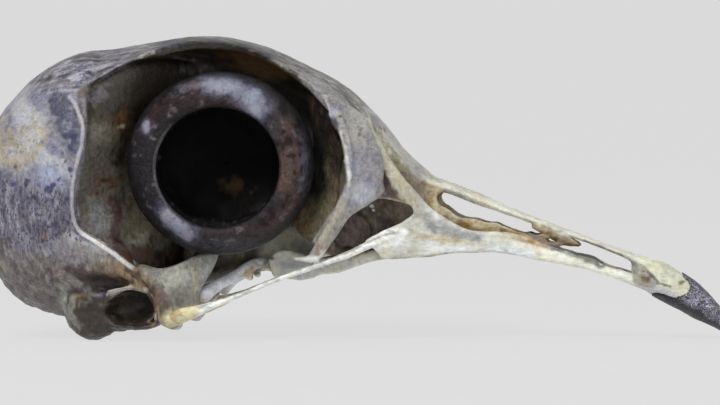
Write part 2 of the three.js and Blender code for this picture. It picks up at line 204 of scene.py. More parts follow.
def outline_distance(x, z, outline):
    """Signed distance in the side view from points to a closed outline, negative inside."""
    nearest = np.full(np.broadcast(x, z).shape, FAR**2 * 4, np.float32)
    inside = np.zeros(nearest.shape, bool)
    for (ax, az), (bx, bz) in zip(outline, np.roll(outline, -1, 0)):
        ex, ez = bx - ax, bz - az
        t = np.clip(((x - ax) * ex + (z - az) * ez) / (ex * ex + ez * ez + 1e-12), 0, 1)
        nearest = np.minimum(nearest, (x - ax - t * ex) ** 2 + (z - az - t * ez) ** 2)
        crosses = (az > z) != (bz > z)
        with np.errstate(divide="ignore", invalid="ignore"):
            at = ax + (z - az) / (bz - az) * ex if bz != az else np.inf
        inside ^= crosses & (x < at)
    return np.where(inside, -1, 1) * np.sqrt(nearest)


def sheet(field, outline, middle, half, corners=False):
    """Thin bone with a side-view outline: its middle surface passes through points of x, z, y."""
    edge = np.array(outline, float) if corners else smooth_rows(outline, 5, closed=True)
    height = surface(middle)
    depth = np.array(middle)[:, 2]
    low = [edge[:, 0].min() - FAR, depth.min() - half - 2 * FAR, edge[:, 1].min() - FAR]
    high = [edge[:, 0].max() + FAR, depth.max() + half + 2 * FAR, edge[:, 1].max() + FAR]
    window = field.window(low, high)
    x, y, z = field.axes(window)
    flat_x, flat_z = x[:, 0], z[:, 0]
    rim = outline_distance(flat_x, flat_z, edge)
    mid = height(flat_x, flat_z)
    if min(mid.shape) > 1:
        gx, gz = np.gradient(mid, field.step)
        slope = np.sqrt(1 + gx * gx + gz * gz)
    else:
        slope = np.ones_like(mid)
    rounding = 0.8 * half
    rim = (rim + rounding)[:, None, :]
    slab = np.abs(y - mid[:, None, :]) / slope[:, None, :] - half + rounding
    d = np.minimum(np.maximum(rim, slab), 0)
    d = d + np.sqrt(np.maximum(rim, 0) ** 2 + np.maximum(slab, 0) ** 2) - rounding
    return window, np.clip(d, -FAR, FAR).astype(np.float32)


def prism(field, outline):
    """Everything inside a side-view outline, at any distance from the middle plane."""
    x, _, z = field.axes(field.whole())
    rim = outline_distance(x[:, 0], z[:, 0], smooth_rows(outline, 4, closed=True))
    d = np.clip(rim, -FAR, FAR)[:, None, :] + np.zeros((1, int(field.count[1]), 1))
    return field.whole(), d.astype(np.float32)


def skin_depth(field):
    """How far out the skin is from the middle plane, for each x and z of the field."""
    bone = field.d < 0
    last = np.minimum(field.count[1] - 1 - np.argmax(bone[:, ::-1], axis=1), field.count[1] - 2)
    here = np.take_along_axis(field.d, last[:, None], 1)[:, 0]
    after = np.take_along_axis(field.d, last[:, None] + 1, 1)[:, 0]
    share = np.clip(here / np.minimum(here - after, -1e-6), 0, 1)
    return np.where(bone.any(1), field.low[1] + field.step * (last + 0.5 + share), 0)


def on_skin(field, skin, rows):
    """Rows x, z, sink, half-height, half-thickness as rows for a bar on the skin, sunk in by sink."""
    out = []
    for x, z, sink, high, thick in rows:
        i = int((x - field.low[0]) / field.step)
        k = int((z - field.low[2]) / field.step)
        out.append([x, skin[i, k] - sink, z, high, thick])
    return out


def sunk(field, skin, outline, sinks):
    """The space inside a side-view outline, down to a depth under the skin from x, z, depth."""
    x, y, z = field.axes(field.whole())
    rim = outline_distance(x[:, 0], z[:, 0], smooth_rows(outline, 4, closed=True))
    depth = surface(sinks)(x[:, 0], z[:, 0])
    d = np.maximum(rim[:, None, :], (skin - depth)[:, None, :] - y)
    return field.whole(), np.clip(d, -FAR, FAR).astype(np.float32)


def skinned(field, rings, first, last):
    """A closed skin over rings of points, read back as distances over the whole field."""
    count = len(rings[0])
    points = np.vstack([*rings, first, last])
    faces = []
    for j in range(count):
        k = (j + 1) % count
        end = (len(rings) - 1) * count
        faces.append((len(points) - 2, k, j))
        faces.append((len(points) - 1, end + j, end + k))
        for i in range(len(rings) - 1):
            a, b = i * count, (i + 1) * count
            faces.append((a + j, a + k, b + j))
            faces.append((b + j, a + k, b + k))
    local = (points - field.low) / field.step - 0.5
    grid = vdb.FloatGrid.createLevelSetFromPolygons(
        local.astype(np.float32),
        triangles=np.array(faces, np.uint32),
        transform=vdb.createLinearTransform(1.0),
        halfWidth=FAR / field.step,
    )
    out = np.zeros(field.count, np.float32)
    grid.copyToArray(out)
    out *= field.step
    return field.whole(), np.clip(out, -FAR, FAR)


def noise(points, size, octaves=3, seed=0):
    """Smooth value noise of -1 to 1 at points in mm, its coarsest grain `size` mm."""
    rng = np.random.default_rng(SEED + seed)
    cells = 32
    total = np.zeros(len(points), np.float32)
    weight = 1.0
    for _ in range(octaves):
        lattice = rng.uniform(-1, 1, (cells, cells, cells)).astype(np.float32)
        p = points / size + rng.uniform(0, cells, 3)
        cell = np.floor(p).astype(int)
        f = (p - cell).astype(np.float32)
        f = f * f * (3 - 2 * f)
        value = np.zeros(len(points), np.float32)
        for corner in np.ndindex(2, 2, 2):
            at = (cell + corner) % cells
            share = np.prod(np.where(np.array(corner) == 1, f, 1 - f), axis=1)
            value += share * lattice[at[:, 0], at[:, 1], at[:, 2]]
        total += weight * value
        weight *= 0.5
        size *= 0.5
    return total


# ---- Meshes ----


def largest_part(points, quads):
    """Drops loose crumbs: keeps the faces that hang together with the most points."""
    label = np.arange(len(points))
    edges = np.vstack([quads[:, [0, 1]], quads[:, [1, 2]], quads[:, [2, 3]]])
    while True:
        low = np.minimum(label[edges[:, 0]], label[edges[:, 1]])
        new = label.copy()
        np.minimum.at(new, edges[:, 0], low)
        np.minimum.at(new, edges[:, 1], low)
        new = new[new]
        if np.array_equal(new, label):
            break
        label = new
    keep = label == np.bincount(label).argmax()
    renumber = np.cumsum(keep) - 1
    return points[keep], renumber[quads[keep[quads[:, 0]]]]


def skin_of(array, low, step):
    """The surface of a distance array: points in mm and quads, without crumbs."""
    grid = vdb.FloatGrid(3 * step)
    grid.copyFromArray(np.clip(array, -3 * step, 3 * step))
    points, _, quads = grid.convertToPolygons(0.0)
    points, quads = largest_part(np.array(points), np.array(quads).astype(int))
    return np.array(low) + step * (points + 0.5), quads


def normals_of(points, quads):
    """The mean normal of the faces round each point."""
    a, b, c, d = (points[quads[:, i]] for i in range(4))
    face = np.cross(c - a, d - b)
    total = np.zeros_like(points)
    for axis in range(3):
        for corner in range(4):
            total[:, axis] += np.bincount(quads[:, corner], face[:, axis], len(points))
    return total / (np.linalg.norm(total, axis=1, keepdims=True) + 1e-12)


def points_of(thing):
    """The points of an object's mesh, in mm."""
    co = np.zeros(len(thing.data.vertices) * 3)
    thing.data.vertices.foreach_get("co", co)
    return co.reshape(-1, 3) / MM


def evened(points, quads, rounds, where=1.0):
    """The points with the grid's small steps smoothed out, at an unchanged thickness."""
    ahead = quads[:, [1, 2, 3, 0]].ravel()
    here = quads.ravel()
    count = np.bincount(here, minlength=len(points))[:, None] + 1e-9
    for pull in (0.5, -0.52) * rounds:
        mean = np.stack([np.bincount(here, points[ahead, axis], len(points)) for axis in range(3)], 1)
        points = points + pull * where * (mean / count - points) * (count > 0.5)
    return points


def weathered(points, quads, amount, seed):
    """Shallow dents and lumps, so that no surface is mathematically smooth."""
    relief = noise(points, 2.2, 2, seed) + 0.55 * noise(points, 0.6, 3, seed + 1)
    return points + amount * relief[:, None] * normals_of(points, quads)


def new_object(name, points, faces):
    """A smooth-shaded object from points in mm and an array of quads."""
    mesh = bpy.data.meshes.new(name)
    faces = np.asarray(faces)
    corners = faces.shape[1]
    mesh.vertices.add(len(points))
    mesh.vertices.foreach_set("co", (np.asarray(points) * MM).astype(np.float32).ravel())
    mesh.loops.add(faces.size)
    mesh.loops.foreach_set("vertex_index", faces.astype(np.int32).ravel())
    mesh.polygons.add(len(faces))
    mesh.polygons.foreach_set("loop_start", np.arange(0, faces.size, corners, dtype=np.int32))
    mesh.polygons.foreach_set("use_smooth", np.ones(len(faces), bool))
    mesh.update(calc_edges=True)
    mesh.validate()
    thing = bpy.data.objects.new(name, mesh)
    bpy.context.scene.collection.objects.link(thing)
    return thing


# ---- The fused bone: cranium, bill, palate and cheek bars ----

SKULL_BOX = [(-28.2, 0.0, -0.3), (28.2, 9.6, 22.2)]
CASE = dict(x=-18.1, z=10.1, back=9.4, half_width=9.0, above=9.4, below=10.1)
CASE_CROWN = 1.0
CASE_BASE_LIFT = 1.3
# x, crown, base, half-width, height of the widest place, squareness
CASE_FRONT = [
    [-18.1, 20.5, 1.3, 9.0, 10.1, 2.55],
    [-15.6, 20.75, 1.7, 8.7, 10.5, 3.0],
    [-13.2, 20.8, 2.8, 7.2, 11.6, 3.0],
    [-11.2, 20.3, 4.6, 4.6, 13.0, 2.6],
    [-10.2, 19.4, 7.0, 2.2, 14.0, 2.2],
]
# x, crown, half-width, drop of the rim, rim thickness
ROOF = [
    [-17.8, 19.7, 7.2, 1.8, 1.2],
    [-16.2, 20.45, 7.0, 1.5, 1.1],
    [-14.4, 21.0, 6.7, 0.9, 0.7],
    [-12.1, 21.4, 5.9, 0.5, 0.6],
    [-9.3, 21.35, 5.4, 0.35, 0.6],
    [-6.3, 20.6, 5.5, 0.4, 0.65],
    [-3.7, 19.4, 6.0, 0.7, 0.8],
    [-1.6, 18.3, 6.4, 1.1, 1.0],
    [0.3, 16.9, 5.0, 1.3, 1.2],
    [1.9, 15.15, 3.8, 1.1, 1.2],
    [3.2, 13.5, 3.3, 0.8, 1.1],
    [4.5, 11.95, 2.7, 0.4, 0.8],
]
ROOF_KEEL = 1.7
ROOF_CURVE = 2.5
ORBITS = [
    [(-8.9, 9.0, 11.6), (8.3, 8.7, 9.6)],
    [(-6.6, 7.2, 11.2), (6.0, 6.8, 6.6)],
]
SEPTUM = [
    (-13.6, 3.6), (-9.5, 4.6), (-5.0, 5.3), (-0.5, 6.6), (2.6, 8.3), (4.4, 10.2),
    (4.3, 11.6), (1.0, 15.6), (-4.0, 18.8), (-10.0, 20.8), (-13.0, 20.4), (-14.0, 18.0),
]
ROSTRUM = [
    [-14.2, 0, 3.7, 0.9, 1.6],
    [-11.5, 0, 4.2, 0.6, 0.85],
    [-8.5, 0, 4.85, 0.45, 0.55],
    [-4.5, 0, 5.5, 0.4, 0.45],
    [-0.5, 0, 6.7, 0.35, 0.4],
]
# The bone plate in front of the eye, from the lacrimal in behind the eye ring.
ECTETHMOID = [
    (-3.4, 17.9), (-2.8, 14.8), (-2.75, 12.0), (-3.6, 9.6), (-4.2, 8.4), (-3.8, 7.7),
    (-3.3, 7.15), (-2.7, 6.9), (-1.9, 7.3), (-0.8, 8.8), (0.0, 10.9), (0.1, 13.4),
    (-0.5, 15.5), (-1.1, 16.6), (-2.2, 17.8),
]
ECTETHMOID_MIDDLE = [
    (-0.4, 13.0, 6.1), (-0.6, 10.4, 6.0), (-1.5, 8.9, 5.8), (-1.2, 17.0, 6.0), (-2.7, 14.0, 4.7),
    (-2.8, 10.4, 4.8), (-3.7, 8.3, 5.0), (-2.6, 18.2, 5.0),
]
ECTETHMOID_RIB = [
    [-0.2, 0.2, 11.8, 3.6, 0.6],
    [-1.1, 2.4, 11.0, 3.4, 0.45],
    [-2.2, 4.6, 10.6, 3.0, 0.3],
]
# The sharp rear edge of the orbit, down to the tip of the postorbital process.
ORBIT_EDGE = [
    [-19.6, 17.1, 0.2, 0.1, 0.14],
    [-19.2, 16.7, 0.13, 0.12, 0.14],
    [-18.8, 15.9, 0.07, 0.12, 0.14],
    [-18.5, 15.1, 0.05, 0.12, 0.14],
    [-18.55, 13.8, 0.05, 0.12, 0.14],
    [-18.8, 12.8, 0.05, 0.12, 0.14],
    [-19.0, 12.0, 0.05, 0.12, 0.14],
    [-19.2, 10.4, 0.05, 0.13, 0.15],
    [-19.2, 9.3, 0.05, 0.13, 0.15],
    [-19.0, 8.25, 0.05, 0.15, 0.17],
    [-18.6, 7.7, 0.05, 0.17, 0.2],
    [-18.0, 7.3, 0.03, 0.18, 0.22],
    [-17.1, 6.7, 0.0, 0.18, 0.22],
    [-16.2, 6.05, 0.0, 0.16, 0.2],
    [-15.4, 5.35, 0.0, 0.13, 0.16],
    [-15.0, 5.05, 0.05, 0.1, 0.12],
]
# The hollow between that edge and the eye: its outline and its depth under the skin.
REAR_HOLLOW = [
    (-15.0, 5.1), (-16.2, 6.05), (-17.2, 6.75), (-18.1, 7.35), (-18.7, 7.85), (-19.05, 8.5),
    (-19.2, 9.6), (-19.15, 11.0), (-18.95, 12.2), (-18.65, 13.3), (-18.45, 14.6), (-18.6, 15.5),
    (-18.95, 16.4), (-18.9, 17.3), (-18.3, 17.95), (-17.4, 18.55), (-16.5, 19.1), (-15.3, 19.65),
    (-13.6, 19.9), (-11.6, 19.6), (-9.9, 19.0), (-9.9, 12.0), (-12.0, 5.0),
]
REAR_HOLLOW_SINKS = [
    (-19.0, 8.5, 0.5), (-19.1, 11.0, 0.5), (-18.5, 14.0, 0.4), (-18.9, 16.6, 0.3),
    (-17.4, 18.5, 0.5), (-15.3, 19.4, 0.8), (-17.8, 9.0, 1.7), (-17.6, 7.6, 1.2),
    (-16.6, 9.4, 3.4), (-16.4, 7.0, 2.4), (-15.2, 8.8, 3.3), (-15.0, 6.4, 2.8),
    (-17.4, 12.0, 2.2), (-16.2, 12.0, 3.9), (-17.2, 14.8, 1.5), (-15.8, 15.2, 3.0),
    (-16.4, 17.2, 1.7), (-13.8, 17.6, 3.2), (-13.6, 12.0, 6.0), (-13.4, 8.0, 5.0),
    (-11.0, 19.0, 3.5), (-10.5, 16.0, 5.0),
]
CREST_UNDER_EDGE = [
    [-17.4, 7.6, 5.6, 0.3, 0.45],
    [-16.2, 7.75, 5.0, 0.34, 0.45],
    [-15.0, 7.8, 4.25, 0.36, 0.42],
    [-14.2, 7.7, 3.35, 0.34, 0.36],
    [-13.7, 7.5, 2.4, 0.3, 0.32],
    [-13.4, 7.35, 1.5, 0.24, 0.28],
]
BULLA = [(-18.2, 5.3, 2.4), (2.2, 2.0, 2.4)]
BULLA_LUMPS = [
    [(-19.3, 5.3, 2.4), (0.9, 1.1, 1.4)],
    [(-17.6, 6.1, 1.4), (1.3, 1.0, 1.1)],
    [(-16.3, 6.0, 1.9), (1.2, 1.1, 1.0)],
]
EAR_FUNNEL = [(-15.6, 6.0, 2.9), (2.5, 2.0, 2.2)]
EAR_HOLE = [(-15.0, 8.0, 2.35), (1.5, 2.6, 1.3)]
EAR_HOLE_REAR = [(-16.0, 8.2, 2.1), (1.3, 2.4, 0.85)]
EAR_RIM = [
    [-17.0, 6.0, 1.2, 0.25, 1.0],
    [-16.2, 6.2, 1.05, 0.18, 1.1],
    [-15.2, 6.4, 1.0, 0.16, 1.1],
    [-14.2, 6.7, 1.05, 0.16, 0.9],
    [-13.5, 7.1, 1.25, 0.16, 0.5],
]
EAR_HOLLOW = [(-17.5, 8.4, 4.0), (2.3, 1.6, 0.75)]
EAR_SHELF = [
    [-16.9, 7.5, 3.5, 0.12, 0.35],
    [-16.0, 7.75, 3.75, 0.13, 0.35],
    [-15.2, 7.85, 3.8, 0.14, 0.35],
    [-14.3, 7.8, 3.6, 0.14, 0.3],
]
CONDYLE = [(-20.1, 0, 1.2), (0.8, 0.85, 0.8)]
FORAMEN = [(-22.5, 0, 1.3), (1.8, 2.2, 1.6)]
TEMPLE = [(-17.0, 7.0, 5.4), (1.8, 1.35, 1.7)]
CULMEN = [
    [3.0, 0, 12.5, 0.6, 2.9],
    [4.4, 0, 11.55, 0.6, 2.85],
    [5.4, 0, 11.0, 0.5, 2.5],
    [6.7, 0, 10.62, 0.42, 2.1],
    [8.75, 0, 9.82, 0.42, 1.7],
    [10.4, 0, 9.16, 0.28, 1.4],
    [11.7, 0, 8.68, 0.27, 1.32],
    [13.1, 0, 8.16, 0.3, 1.25],
    [14.6, 0, 7.6, 0.25, 1.2],
    [16.2, 0, 7.06, 0.22, 1.12],
    [17.8, 0, 6.43, 0.22, 1.08],
    [19.4, 0, 5.83, 0.28, 1.1],
    [20.4, 0, 5.25, 0.45, 1.15],
]
BILL_TIP = [
    [20.3, 0, 4.85, 0.82, 1.15],
    [21.4, 0, 4.27, 1.2, 1.4],
    [22.5, 0, 3.6, 1.18, 1.5],
    [23.6, 0, 2.93, 1.08, 1.45],
    [24.6, 0, 2.2, 0.88, 1.3],
    [25.4, 0, 1.6, 0.66, 1.1],
    [26.1, 0, 1.08, 0.5, 0.85],
    [26.8, 0, 0.6, 0.32, 0.6],
    [27.15, 0, 0.34, 0.2, 0.38],
]
TIP_RECESS = [(20.5, 1.75, 4.55), (1.0, 0.5, 0.55), 33.0]
# The horn sheath covers the tip ahead of this edge, and reaches back along the underside.
HORN_EDGE = [
    (20.95, 3.15), (21.2, 3.32), (21.75, 3.2), (22.5, 2.92), (22.85, 2.98), (23.25, 3.12),
    (23.6, 3.4), (23.68, 3.8), (23.5, 4.15), (23.05, 4.8), (24.5, 5.2), (28.2, 3.0),
    (28.2, -0.6), (20.9, 1.6),
]
HORN_THICKNESS = 0.08
# Under the horn the bone is thinner by this much, and it ends at this x.
HORN_SEAT = 0.25
BONE_TIP = 26.5
BILL_FLOOR = [
    [18.6, 1.3, 4.55, 0.3, 0.5],
    [20.0, 1.0, 4.05, 0.35, 0.6],
    [21.4, 0.6, 3.65, 0.4, 0.8],
]
# The nasal bar runs down from the forehead and widens into the maxilla.
MAXILLA_OUTLINE = [
    (1.0, 15.6), (1.27, 14.6), (1.69, 13.9), (2.05, 13.1), (2.35, 12.0), (2.7, 11.0),
    (3.4, 10.22), (3.85, 9.8), (4.15, 9.35), (4.2, 8.9), (3.5, 8.35), (2.6, 7.95),
    (1.6, 7.45), (0.9, 7.0), (1.3, 6.7), (1.75, 6.2), (2.1, 5.78), (2.9, 5.74),
    (4.0, 5.8), (5.4, 5.84), (6.1, 5.97), (7.5, 6.13), (9.2, 6.22), (10.5, 6.13),
    (11.4, 5.97), (12.7, 5.72), (14.0, 5.53), (15.0, 5.33), (16.4, 5.05), (17.6, 4.73),
    (18.9, 4.3), (20.1, 3.85), (20.9, 3.7), (21.2, 4.0), (20.6, 4.4), (19.6, 4.6),
    (18.4, 4.95), (17.2, 5.32), (15.6, 6.0), (14.2, 6.48), (12.9, 7.0), (11.65, 7.4),
    (10.4, 7.6), (8.6, 7.68), (7.8, 7.9), (6.6, 8.54), (5.8, 9.1), (5.1, 9.73),
    (4.3, 10.65), (3.73, 11.3), (2.95, 12.35), (2.24, 13.47), (1.5, 14.7), (1.3, 15.5),
]
MAXILLA_MIDDLE = [
    (1.1, 15.4, 4.15), (2.2, 12.6, 4.1), (3.7, 10.2, 4.0), (1.6, 7.1, 4.4), (3.0, 6.2, 3.95),
    (5.6, 8.2, 3.7), (6.0, 6.6, 3.4), (8.4, 7.0, 3.0), (10.4, 6.9, 2.62), (12.9, 6.3, 2.25),
    (15.5, 5.6, 1.95), (18.3, 4.7, 1.6), (20.6, 4.0, 1.2),
]
# Bone behind the maxilla's face, so that it reads as a beam and not as card.
MAXILLA_CORE = [
    [3.4, 3.5, 6.6, 0.55, 0.4],
    [6.0, 3.0, 6.7, 0.5, 0.5],
    [8.4, 2.6, 6.75, 0.5, 0.5],
    [10.6, 2.25, 6.7, 0.48, 0.5],
    [13.0, 1.95, 6.15, 0.42, 0.45],
    [15.6, 1.7, 5.5, 0.3, 0.4],
    [18.3, 1.4, 4.65, 0.25, 0.4],
    [20.4, 1.0, 4.0, 0.3, 0.5],
]
NOSTRIL_FLOOR = [
    (4.1, 10.5), (4.4, 10.9), (5.0, 11.05), (5.7, 10.85), (6.3, 10.5), (5.9, 10.2),
    (5.87, 9.83), (6.1, 9.52), (6.55, 9.25), (7.08, 8.8), (7.6, 8.58), (8.4, 8.48), (9.3, 8.24),
    (9.95, 8.2), (10.5, 7.95), (11.2, 7.7), (11.9, 7.52), (12.3, 7.58), (12.75, 7.42),
    (13.3, 7.5), (13.75, 7.35), (13.75, 7.1), (13.5, 6.98), (14.1, 6.82), (14.5, 6.95),
    (15.1, 6.85), (15.7, 6.8), (15.3, 6.58), (14.6, 6.62), (14.1, 6.4), (13.0, 6.6),
    (11.5, 7.0), (9.0, 7.3), (6.5, 7.9), (4.8, 9.0),
]
NOSTRIL_GROWTH = [
    [15.9, 1.8, 5.8, 0.1, 0.12],
    [16.4, 1.8, 5.68, 0.16, 0.2],
    [16.9, 1.75, 5.5, 0.17, 0.2],
    [17.4, 1.7, 5.2, 0.08, 0.12],
]
CULMEN_SHRED = [
    [12.6, 0.9, 7.95, 0.2, 0.35],
    [13.5, 0.9, 7.55, 0.28, 0.35],
    [14.4, 1.0, 7.15, 0.32, 0.3],
    [15.2, 1.1, 6.85, 0.26, 0.25],
    [15.8, 1.1, 6.62, 0.1, 0.15],
]
# Thin bone between the lacrimal and the nasal bar.
NASAL_VEIL = [
    (0.9, 14.8), (1.7, 13.4), (2.5, 11.6), (3.3, 10.5), (4.0, 9.6), (3.3, 9.75), (2.4, 9.95),
    (1.5, 10.0), (0.9, 10.1), (0.5, 11.5), (0.4, 13.4),
]
NOSTRIL_FLOOR_Y = [(4.1, 10.6, 2.4), (5.8, 9.3, 2.2), (9.0, 8.0, 1.9), (11.6, 7.2, 1.6)]
NASAL_WALL = [
    (-2.4, 6.5), (-1.6, 9.5), (0.9, 12.2), (4.3, 11.6), (4.9, 9.4), (3.4, 7.2), (0.6, 6.0),
    (-1.2, 5.9),
]
NASAL_WALL_Y = [(-1.8, 7.0, 2.7), (1.5, 11.0, 2.6), (4.3, 9.5, 2.7), (1.5, 7.0, 2.2)]
# Dried tissue that hangs behind the lacrimal's foot, with a wavy lower edge.
TURBINAL = [
    (-1.7, 7.6), (-1.3, 6.75), (-0.9, 6.45), (-0.4, 6.55), (0.1, 6.35), (0.6, 6.5), (1.0, 6.9),
    (1.2, 7.8), (0.4, 8.8), (-0.9, 8.6),
]
LACRIMAL_OUTLINE = [
    (1.0, 15.6), (1.14, 15.2), (1.45, 14.6), (1.8, 13.85), (2.0, 13.3), (2.2, 12.3),
    (2.2, 11.1), (2.28, 10.5), (1.5, 9.8), (0.1, 8.9), (-0.6, 8.0), (-1.5, 6.65),
    (-2.1, 5.8), (-2.7, 5.5), (-3.2, 5.75), (-2.75, 6.3), (-1.85, 7.65), (-1.2, 8.8),
    (-0.72, 9.8), (-0.5, 11.3), (-0.2, 12.7), (-0.5, 14.1), (-1.1, 14.95), (-1.45, 15.6),
    (-1.5, 16.2), (-1.8, 16.9), (-1.2, 17.1), (0.2, 16.3),
]
LACRIMAL_MIDDLE = [
    (-1.4, 16.6, 6.35), (-0.7, 14.2, 6.45), (-0.35, 12.3, 6.4), (-0.6, 10.0, 6.3),
    (-1.5, 8.0, 6.2), (-2.6, 6.2, 6.1), (0.8, 16.3, 4.6), (1.5, 14.2, 4.6),
    (2.1, 12.0, 4.75), (2.1, 10.7, 4.85), (0.4, 9.2, 5.7), (-1.2, 6.9, 6.0),
]
LACRIMAL_RIDGE = [
    [-0.3, 6.5, 12.6, 0.3, 0.2],
    [-0.5, 6.45, 10.8, 0.35, 0.2],
    [-0.6, 6.3, 9.6, 0.3, 0.25],
    [-1.1, 6.2, 8.4, 0.28, 0.28],
    [-1.9, 6.15, 7.1, 0.26, 0.28],
    [-2.5, 6.1, 6.1, 0.22, 0.26],
]
LACRIMAL_FOOT = [
    [-2.4, 6.1, 5.75, 0.2, 0.3],
    [-3.2, 6.1, 5.78, 0.2, 0.3],
    [-3.9, 6.05, 5.8, 0.13, 0.2],
]
PALATINE_OUTLINE = [
    (-6.3, 5.35), (-6.0, 4.8), (-5.65, 4.3), (-4.5, 4.2), (-3.8, 4.12), (-3.0, 4.25),
    (-2.4, 4.52), (-1.3, 4.7), (-0.2, 5.03), (1.0, 5.45), (2.2, 5.75), (3.4, 5.8),
    (3.6, 6.3), (1.6, 6.35), (-0.4, 6.0), (-2.2, 5.7), (-3.4, 5.9), (-4.6, 6.3), (-5.6, 6.2),
]
PALATINE_MIDDLE = [
    (-6.2, 4.9, 2.3), (-4.6, 5.2, 2.7), (-3.4, 4.6, 3.0), (-1.2, 5.2, 3.1), (1.2, 5.9, 3.0),
    (3.2, 6.0, 3.1),
]
PALATINE_SHELF = [
    [-6.2, 1.0, 5.0, 0.3, 0.4],
    [-5.2, 1.8, 5.0, 0.3, 0.7],
    [-3.6, 2.2, 5.0, 0.25, 0.9],
    [-1.0, 2.4, 5.5, 0.25, 0.8],
    [1.5, 2.5, 6.0, 0.25, 0.6],
    [4.6, 2.6, 6.2, 0.25, 0.5],
]
JUGAL = [
    [-12.5, 7.75, 1.5, 0.5, 0.45],
    [-11.6, 7.9, 1.9, 0.55, 0.42],
    [-10.6, 7.9, 2.2, 0.4, 0.36],
    [-9.7, 7.85, 2.55, 0.24, 0.28],
    [-8.6, 7.75, 2.94, 0.2, 0.26],
    [-7.3, 7.6, 3.47, 0.19, 0.26],
    [-5.4, 7.2, 4.26, 0.19, 0.26],
    [-3.6, 6.75, 4.9, 0.19, 0.25],
    [-2.0, 6.2, 5.45, 0.19, 0.25],
    [-0.2, 5.45, 6.1, 0.24, 0.26],
    [1.2, 4.75, 6.75, 0.28, 0.26],
    [2.2, 4.3, 7.2, 0.36, 0.28],
    [3.2, 4.05, 7.4, 0.4, 0.26],
]


def case_ring(x, crown, base, half_width, widest, squareness):
    """A cross-section of the braincase: a rounded square above, rounder below."""
    angle = np.linspace(0, 2 * math.pi, 120, endpoint=False)
    c, s = np.cos(angle), np.sin(angle)
    power = 2 / np.where(s > 0, squareness, min(squareness, 2.3))
    y = half_width * np.sign(c) * np.abs(c) ** power
    rise = np.sign(s) * np.abs(s) ** power
    z = widest + rise * np.where(s > 0, crown - widest, widest - base)
    return np.stack([np.full(len(angle), x), y, z], 1)


def braincase(field):
    """A round back, lofted on to the sections that narrow towards the orbits."""
    rings = []
    for degrees in np.arange(4, 90, 3.0):
        turn = math.radians(degrees)
        swell = math.sin(turn)
        rings.append(
            case_ring(
                CASE["x"] - CASE["back"] * math.cos(turn),
                CASE["z"] + CASE["above"] * swell + CASE_CROWN * swell**4,
                CASE["z"] - CASE["below"] * swell + CASE_BASE_LIFT * swell**8,
                CASE["half_width"] * swell,
                CASE["z"],
                2.1 + 0.6 * swell**3,
            )
        )
    for row in smooth_rows(CASE_FRONT, 6):
        rings.append(case_ring(*row))
    x, crown, base = CASE_FRONT[-1][:3]
    back = (CASE["x"] - CASE["back"], 0, CASE["z"])
    return skinned(field, rings, back, (x + 0.3, 0, (crown + base) / 2))


def skull_roof(field):
    """The bone over the orbits and the forehead, with a keel underneath along its middle."""
    rings = []
    share = np.linspace(-1, 1, 41)
    for x, crown, half_width, drop, rim in smooth_rows(ROOF, 5):
        here = np.full(len(share), x)
        top = crown - drop * np.abs(share) ** ROOF_CURVE
        depth = rim + ROOF_KEEL * (1 - np.abs(share)) ** 2
        upper = np.stack([here, half_width * share, top], 1)
        lower = np.stack([here, half_width * share * 0.97, top - depth], 1)
        rings.append(np.vstack([upper, lower[::-1]]))
    return skinned(field, rings, rings[0].mean(0), rings[-1].mean(0))


def add_cranium(field):
    field.join(braincase(field), 0.1)
    skin = skin_depth(field)
    field.join(skull_roof(field), 0.6)
    field.join(bar(field, ROSTRUM), 0.8)
    field.carve(sunk(field, skin, REAR_HOLLOW, REAR_HOLLOW_SINKS), 0.3)
    for orbit in ORBITS:
        field.carve(blob(field, *orbit), 0.5)
    field.carve(blob(field, *FORAMEN), 0.4)
    field.join(sheet(field, SEPTUM, [(0, 0, 0)], 0.3, corners=True), 0.5)
    lumps = [(lump, 0.4) for lump in BULLA_LUMPS]
    for place, blend in [(CONDYLE, 0.3), (TEMPLE, 0.6), (BULLA, 0.9), *lumps, (EAR_FUNNEL, 0.5)]:
        field.join(blob(field, *place), blend)
    field.join(bar(field, CREST_UNDER_EDGE), 0.6)
    for place, blend in [(EAR_HOLLOW, 0.4), (EAR_HOLE, 0.2), (EAR_HOLE_REAR, 0.5)]:
        field.carve(blob(field, *place), blend)
    field.join(bar(field, EAR_SHELF), 0.25)
    field.join(bar(field, EAR_RIM), 0.2)
    field.join(bar(field, on_skin(field, skin, ORBIT_EDGE), 4), 0.3)


def add_bill(field):
    for rows, blend in [(CULMEN, 0.5), (CULMEN_SHRED, 0.2), (BILL_TIP, 0.4), (BILL_FLOOR, 0.4)]:
        field.join(bar(field, rows), blend)
    field.carve(blob(field, *TIP_RECESS), 0.1)
    field.join(sheet(field, NASAL_WALL, NASAL_WALL_Y, 0.2), 0.4)
    field.join(sheet(field, NASAL_VEIL, [(1.5, 12.0, 4.0)], 0.15), 0.3)
    field.join(sheet(field, TURBINAL, [(0.0, 7.5, 3.0)], 0.2), 0.5)
    field.join(sheet(field, NOSTRIL_FLOOR, NOSTRIL_FLOOR_Y, 0.2), 0.15)
    field.join(bar(field, NOSTRIL_GROWTH), 0.15)
    field.join(sheet(field, MAXILLA_OUTLINE, MAXILLA_MIDDLE, 0.24), 0.3)
    field.join(bar(field, MAXILLA_CORE), 0.4)


def add_cheek_and_palate(field):
    field.join(sheet(field, ECTETHMOID, ECTETHMOID_MIDDLE, 0.16), 0.3)
    field.join(bar(field, ECTETHMOID_RIB), 0.5)
    field.join(sheet(field, LACRIMAL_OUTLINE, LACRIMAL_MIDDLE, 0.22), 0.4)
    field.join(bar(field, LACRIMAL_RIDGE), 0.35)
    field.join(bar(field, LACRIMAL_FOOT), 0.2)
    field.join(sheet(field, PALATINE_OUTLINE, PALATINE_MIDDLE, 0.2), 0.25)
    field.join(bar(field, PALATINE_SHELF), 0.4)
    field.join(bar(field, JUGAL), 0.15)


